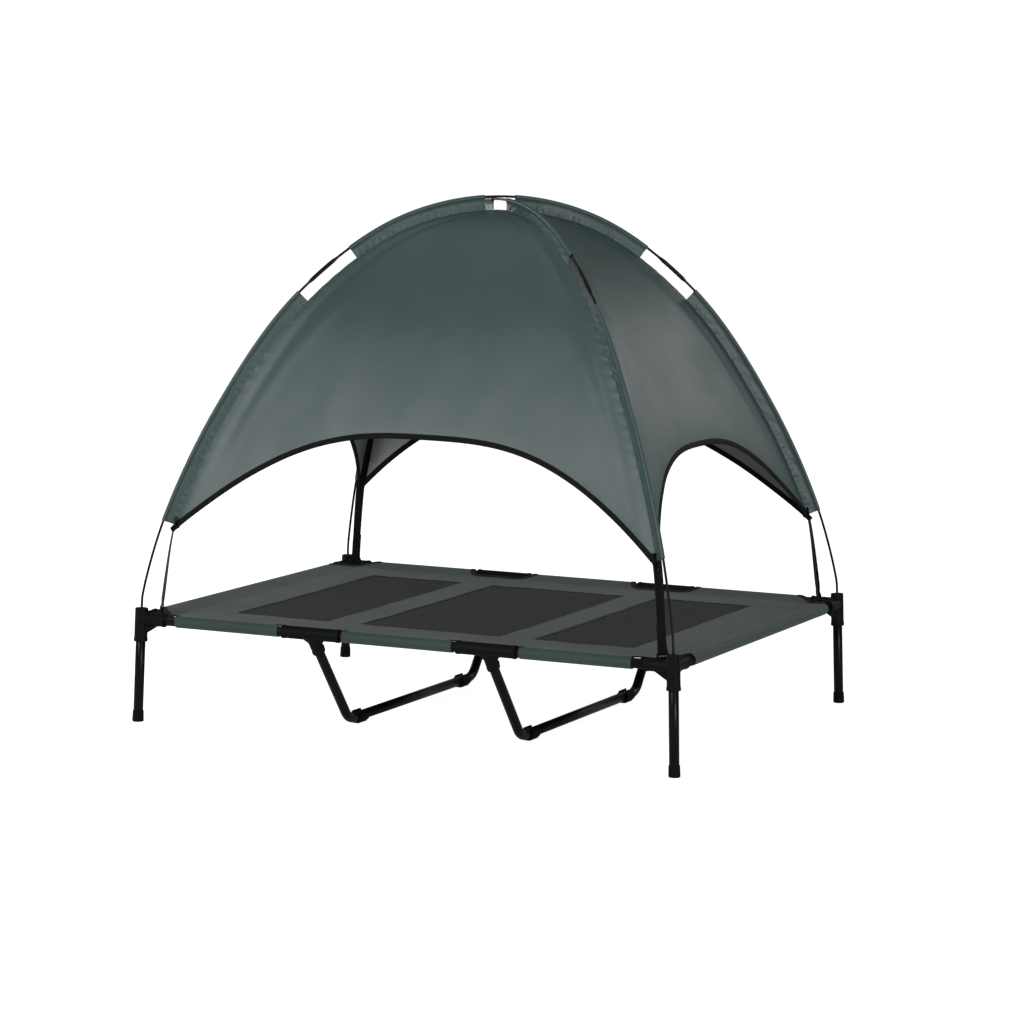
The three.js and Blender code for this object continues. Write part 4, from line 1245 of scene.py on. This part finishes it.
def sleeve_section():
    """Section of a pole sleeve: distance inward from the pole, distance sideways, for each point."""
    layer = 0.0007
    fin = [(d, layer + 0.0006 * math.exp(-(d - 0.006) / 0.002)) for d in np.linspace(FIN + 0.004, 0.0075, 14)]
    loop = [(0.0041 * math.cos(t), 0.0041 * math.sin(t)) for t in np.linspace(0.75, 2 * math.pi - 0.75, 17)]
    back = [(d, -side) for d, side in fin[::-1]]
    return np.array([*fin, *loop, *back])


def build_sleeve(name, line, corner, seed):
    """A gathered sleeve round one stretch of a pole."""
    sx, sy = corner
    outward, sideways = diagonal_frame(sx, sy)
    inward = inward_of(line)
    travel = travel_along(line)
    section = sleeve_section()
    lift = np.array([0, 0, 1.0])
    gather = wobble(travel, seed, 0.011)
    slow = wobble(travel, seed + 1, 0.16, 3)
    rows = []
    for i, (s, z) in enumerate(line):
        d, w = section[:, 0], section[:, 1]
        fold = np.sin(np.clip((d - 0.004) / (FIN - 0.004), 0, 1) * math.pi) ** 0.8
        by_seam = np.exp(-((d - FIN + 0.0045) / 0.0035) ** 2)
        slant = wobble(travel[i] + 1.3 * d, seed + 2, 0.034)
        lean = 0.0008 * gather[i] * by_seam + (0.0005 * slant + 0.0014 * slow[i]) * fold
        place = np.outer(d * inward[i, 0] + s, outward) + np.outer(d * inward[i, 1] + z, lift)
        rows.append(place + np.outer(w + lean, sideways))
    around = travel_along(section)
    uvs = cloth_uvs(around, travel)
    return sheet_grid(name, np.array(rows), [sleeve_cloth], uvs)


def hem_tape(gore):
    """Black tape folded round the arched hem of one panel."""
    us = np.sin(np.linspace(-1, 1, 150) * math.pi / 2) * 0.997
    share = hem_share(gore, us)
    base = gore_point(gore, us, share)
    up = gore_point(gore, us, share + 1e-4) - base
    up /= np.linalg.norm(up, axis=1)[:, None]
    along_hem = np.gradient(base, axis=0)
    along_hem /= np.linalg.norm(along_hem, axis=1)[:, None]
    out = np.cross(along_hem, up)
    out /= np.linalg.norm(out, axis=1)[:, None]
    rise = np.cross(out, along_hem)
    base = base + out * creases(gore, us, 0 * us, share)[:, None]
    section = [(0.0110, 0.0004), (0.0104, 0.0011), (0.0050, 0.0013), (0.0004, 0.0012), (-0.0007, 0.0004),
               (-0.0007, -0.0010), (0.0004, -0.0019), (0.0050, -0.0020), (0.0104, -0.0019), (0.0110, -0.0011)]
    rows = np.array([base + rise * a + out * b for a, b in section])
    travel = travel_along(base)
    around = np.array([a for a, _ in section])
    uvs = cloth_uvs(travel, around)
    return sheet_grid(f"hem_binding_{gore}", rows, [hem_binding], uvs)


def ridge_tape(corner_index):
    """Tape over the raw seam inside a ridge, between two panels."""
    left_gore, right_gore = corner_index, (corner_index - 1) % 4
    shares = np.linspace(0.012, 0.985, 190)
    half, _ = ridge_at(shares)
    rows = []
    for gore, side, reach in ((left_gore, -1, 0.010), (left_gore, -1, 0.004), (left_gore, -1, 0.0),
                              (right_gore, 1, 0.004), (right_gore, 1, 0.010)):
        width = GORES[gore][0] * half / DIAGONAL
        u = side * (1 - reach / np.maximum(width, 0.012))
        point = gore_point(gore, u, shares)
        middle = point * (1, 1, 0)
        distance = np.maximum(np.linalg.norm(middle, axis=1), 1e-6)[:, None]
        inward = -middle / distance * 0.7 - np.array([0, 0, 0.7])
        rows.append(point + inward * (0.0022 if reach else 0.0034))
    travel = shares * RIDGE_LENGTH
    uvs = cloth_uvs(travel, [0, 0.006, 0.01, 0.014, 0.02])
    return sheet_grid(f"ridge_tape_{corner_index}", np.array(rows), [hem_binding], uvs)


def build_poles():
    """Two crossing poles, each a middle section with ferrules and two lower sections."""
    for name, (a, b) in (("over", ("front_left", "back_right")), ("under", ("front_right", "back_left"))):
        apex = APEX_Z if name == "over" else APEX_Z - POLE_CROSSING
        half = pole_half(apex)
        middle = FERRULE_SPAN[0] + (FERRULE_SPAN[1] - FERRULE_SPAN[0]) / 2
        upper = stretch_of(half, 0, FERRULE_SPAN[1], 0.004)
        whole = np.vstack([(upper * (-1, 1))[::-1][:-1], upper])
        outward, _ = diagonal_frame(*CORNERS[b])
        path = whole[:, :1] * outward + whole[:, 1:2] * np.array([0, 0, 1.0])
        s = np.abs(whole[:, 0])
        thick = np.interp(s, [FERRULE_SPAN[0] - 0.001, FERRULE_SPAN[0] + 0.009, FERRULE_SPAN[1] - 0.006,
                              FERRULE_SPAN[1]], [POLE, FERRULE, FERRULE, POLE + 0.0004])
        settle(tube(f"pole_{name}", path, thick, fibreglass, sides=24), "canopy", "pole_fibreglass",
               f"pole_middle_{name}")
        for place in (a, b):
            lower = stretch_of(half, middle, DIAGONAL - 1e-5, 0.005)
            line = on_diagonal(np.vstack([lower, (DIAGONAL, POLE_TIP_Z)]), *CORNERS[place])
            settle(tube(f"pole_end_{place}", line, POLE, fibreglass, sides=24), "canopy", "pole_fibreglass",
                   f"pole_lower_{place}")


def strap_path():
    """The strap's route in its diagonal plane: sewn to the tip, down, through the loop and back up."""
    tip = np.array([RIDGE[0, 0], RIDGE[0, 1]])
    loop = np.array([DIAGONAL - STRAP_IN, LOOP_FOOT + 0.0083])
    way = unit(loop - tip)
    side = np.array([-way[1], way[0]])
    sewn = [(0.034, 0.0040), (0.022, 0.0034), (0.010, 0.0026)]
    free = [(0.0, 0.0016), (0.12, 0.0006), (0.3, 0), (0.6, 0), (0.92, 0)]
    doubled = [(0.014, 0.0020), (0.028, 0.0016), (0.046, 0.0015), (0.058, 0.0016)]
    inside_tip = [tip - way * d - side * w for d, w in sewn]
    down = [tip + (loop - tip) * t - side * w for t, w in free]
    around = [loop - way * 0.010 + side * 0.0006, loop - way * 0.002 + side * 0.0024,
              loop + way * 0.0016 + side * 0.0012, loop + way * 0.0012 - side * 0.0016,
              loop - way * 0.004 - side * 0.0030]
    up = [loop - way * d - side * w for d, w in doubled]
    return spline([*inside_tip, *down, *around, *up], 12)


def build_straps():
    """Webbing straps from the tips, with the upright loops that they run through."""
    for index, (place, corner) in enumerate(CORNERS.items()):
        outward, sideways = diagonal_frame(*corner)
        line = strap_path()
        travel = travel_along(line)
        route = on_diagonal(line, *corner)
        across = np.linspace(-STRAP_HALF, STRAP_HALF, 9)
        turned_out = np.clip((travel - 0.030) / 0.12, 0, 1) * np.clip((0.184 - travel) / 0.012, 0, 1)
        twist = np.radians(10 + index) * turned_out
        width_way = np.cos(twist)[:, None] * sideways - np.sin(twist)[:, None] * outward
        points = route[:, None, :] + across[None, :, None] * width_way[:, None, :]
        uvs = cloth_uvs(across + STRAP_HALF, travel)[..., ::-1]
        strap = sheet_grid(f"webbing_strap_{place}", points, [webbing], uvs)
        thicken(strap, STRAP_THICKNESS, offset=0.0)
        settle(strap, "canopy", "webbing", f"strap_{place}")
        origin = outward * (DIAGONAL - STRAP_IN) + np.array([0, 0, LOOP_FOOT])
        outer = rounded_rectangle(0.027, 0.011, 0.0025, 0.0055)
        window = rounded_rectangle(0.021, 0.0052, 0.0015, 0.0055)
        ring = stamped(f"loop_ring_{place}", [outer, window], 0.004, 0.0007,
                       origin, sideways, (0, 0, 1), plastic)
        settle(ring, "canopy", "moulded_plastic", f"strap_loop_{place}")
        blade = rounded_rectangle(0.020, 0.008, 0.001, -0.003)
        tongue = stamped(f"loop_tongue_{place}", [blade], 0.0022, 0.0004,
                         origin, sideways, (0, 0, 1), plastic)
        settle(tongue, "canopy", "moulded_plastic")


def rounded_rectangle(width, height, radius, centre_up, steps=5):
    outline = []
    for sx, sy, start in ((1, 1, 0), (-1, 1, 90), (-1, -1, 180), (1, -1, 270)):
        for t in np.linspace(start, start + 90, steps):
            outline.append((sx * (width / 2 - radius) + radius * math.cos(math.radians(t)),
                            centre_up + sy * (height / 2 - radius) + radius * math.sin(math.radians(t))))
    return outline


def build_canopy():
    """One curved cloth of four panels, with its sleeves, hem tapes and ridge tapes."""
    points, flats = canopy_surface()
    cloth = sheet_grid("canopy_cloth", points, [canopy_outside, canopy_inside], flats, wrap=True)
    thicken(cloth, CANOPY_CLOTH, inner=1)
    pieces = []
    for index, (place, corner) in enumerate(CORNERS.items()):
        half = pole_half(apex_of(*corner))
        for part, (start, stop) in SLEEVES.items():
            pieces.append(build_sleeve(f"sleeve_{part}_{place}", stretch_of(half, start, stop, 0.0022),
                                       corner, 100 + 10 * index + (part == "upper")))
        pieces.append(hem_tape(index))
        pieces.append(ridge_tape(index))
    for piece in pieces:
        settle(piece, "canopy", "canopy_fabric" if piece.name.startswith("sleeve") else "webbing")
    settle(cloth, "canopy", "canopy_fabric", "canopy_panel_front", "canopy_panel_right", "canopy_panel_back",
           "canopy_panel_left")


# Assembly ----------------------------------------------------------------------------------------

place_camera()
build_studio()
build_corners()
build_rails()
build_supports()
build_bed()
build_poles()
build_canopy()
build_straps()
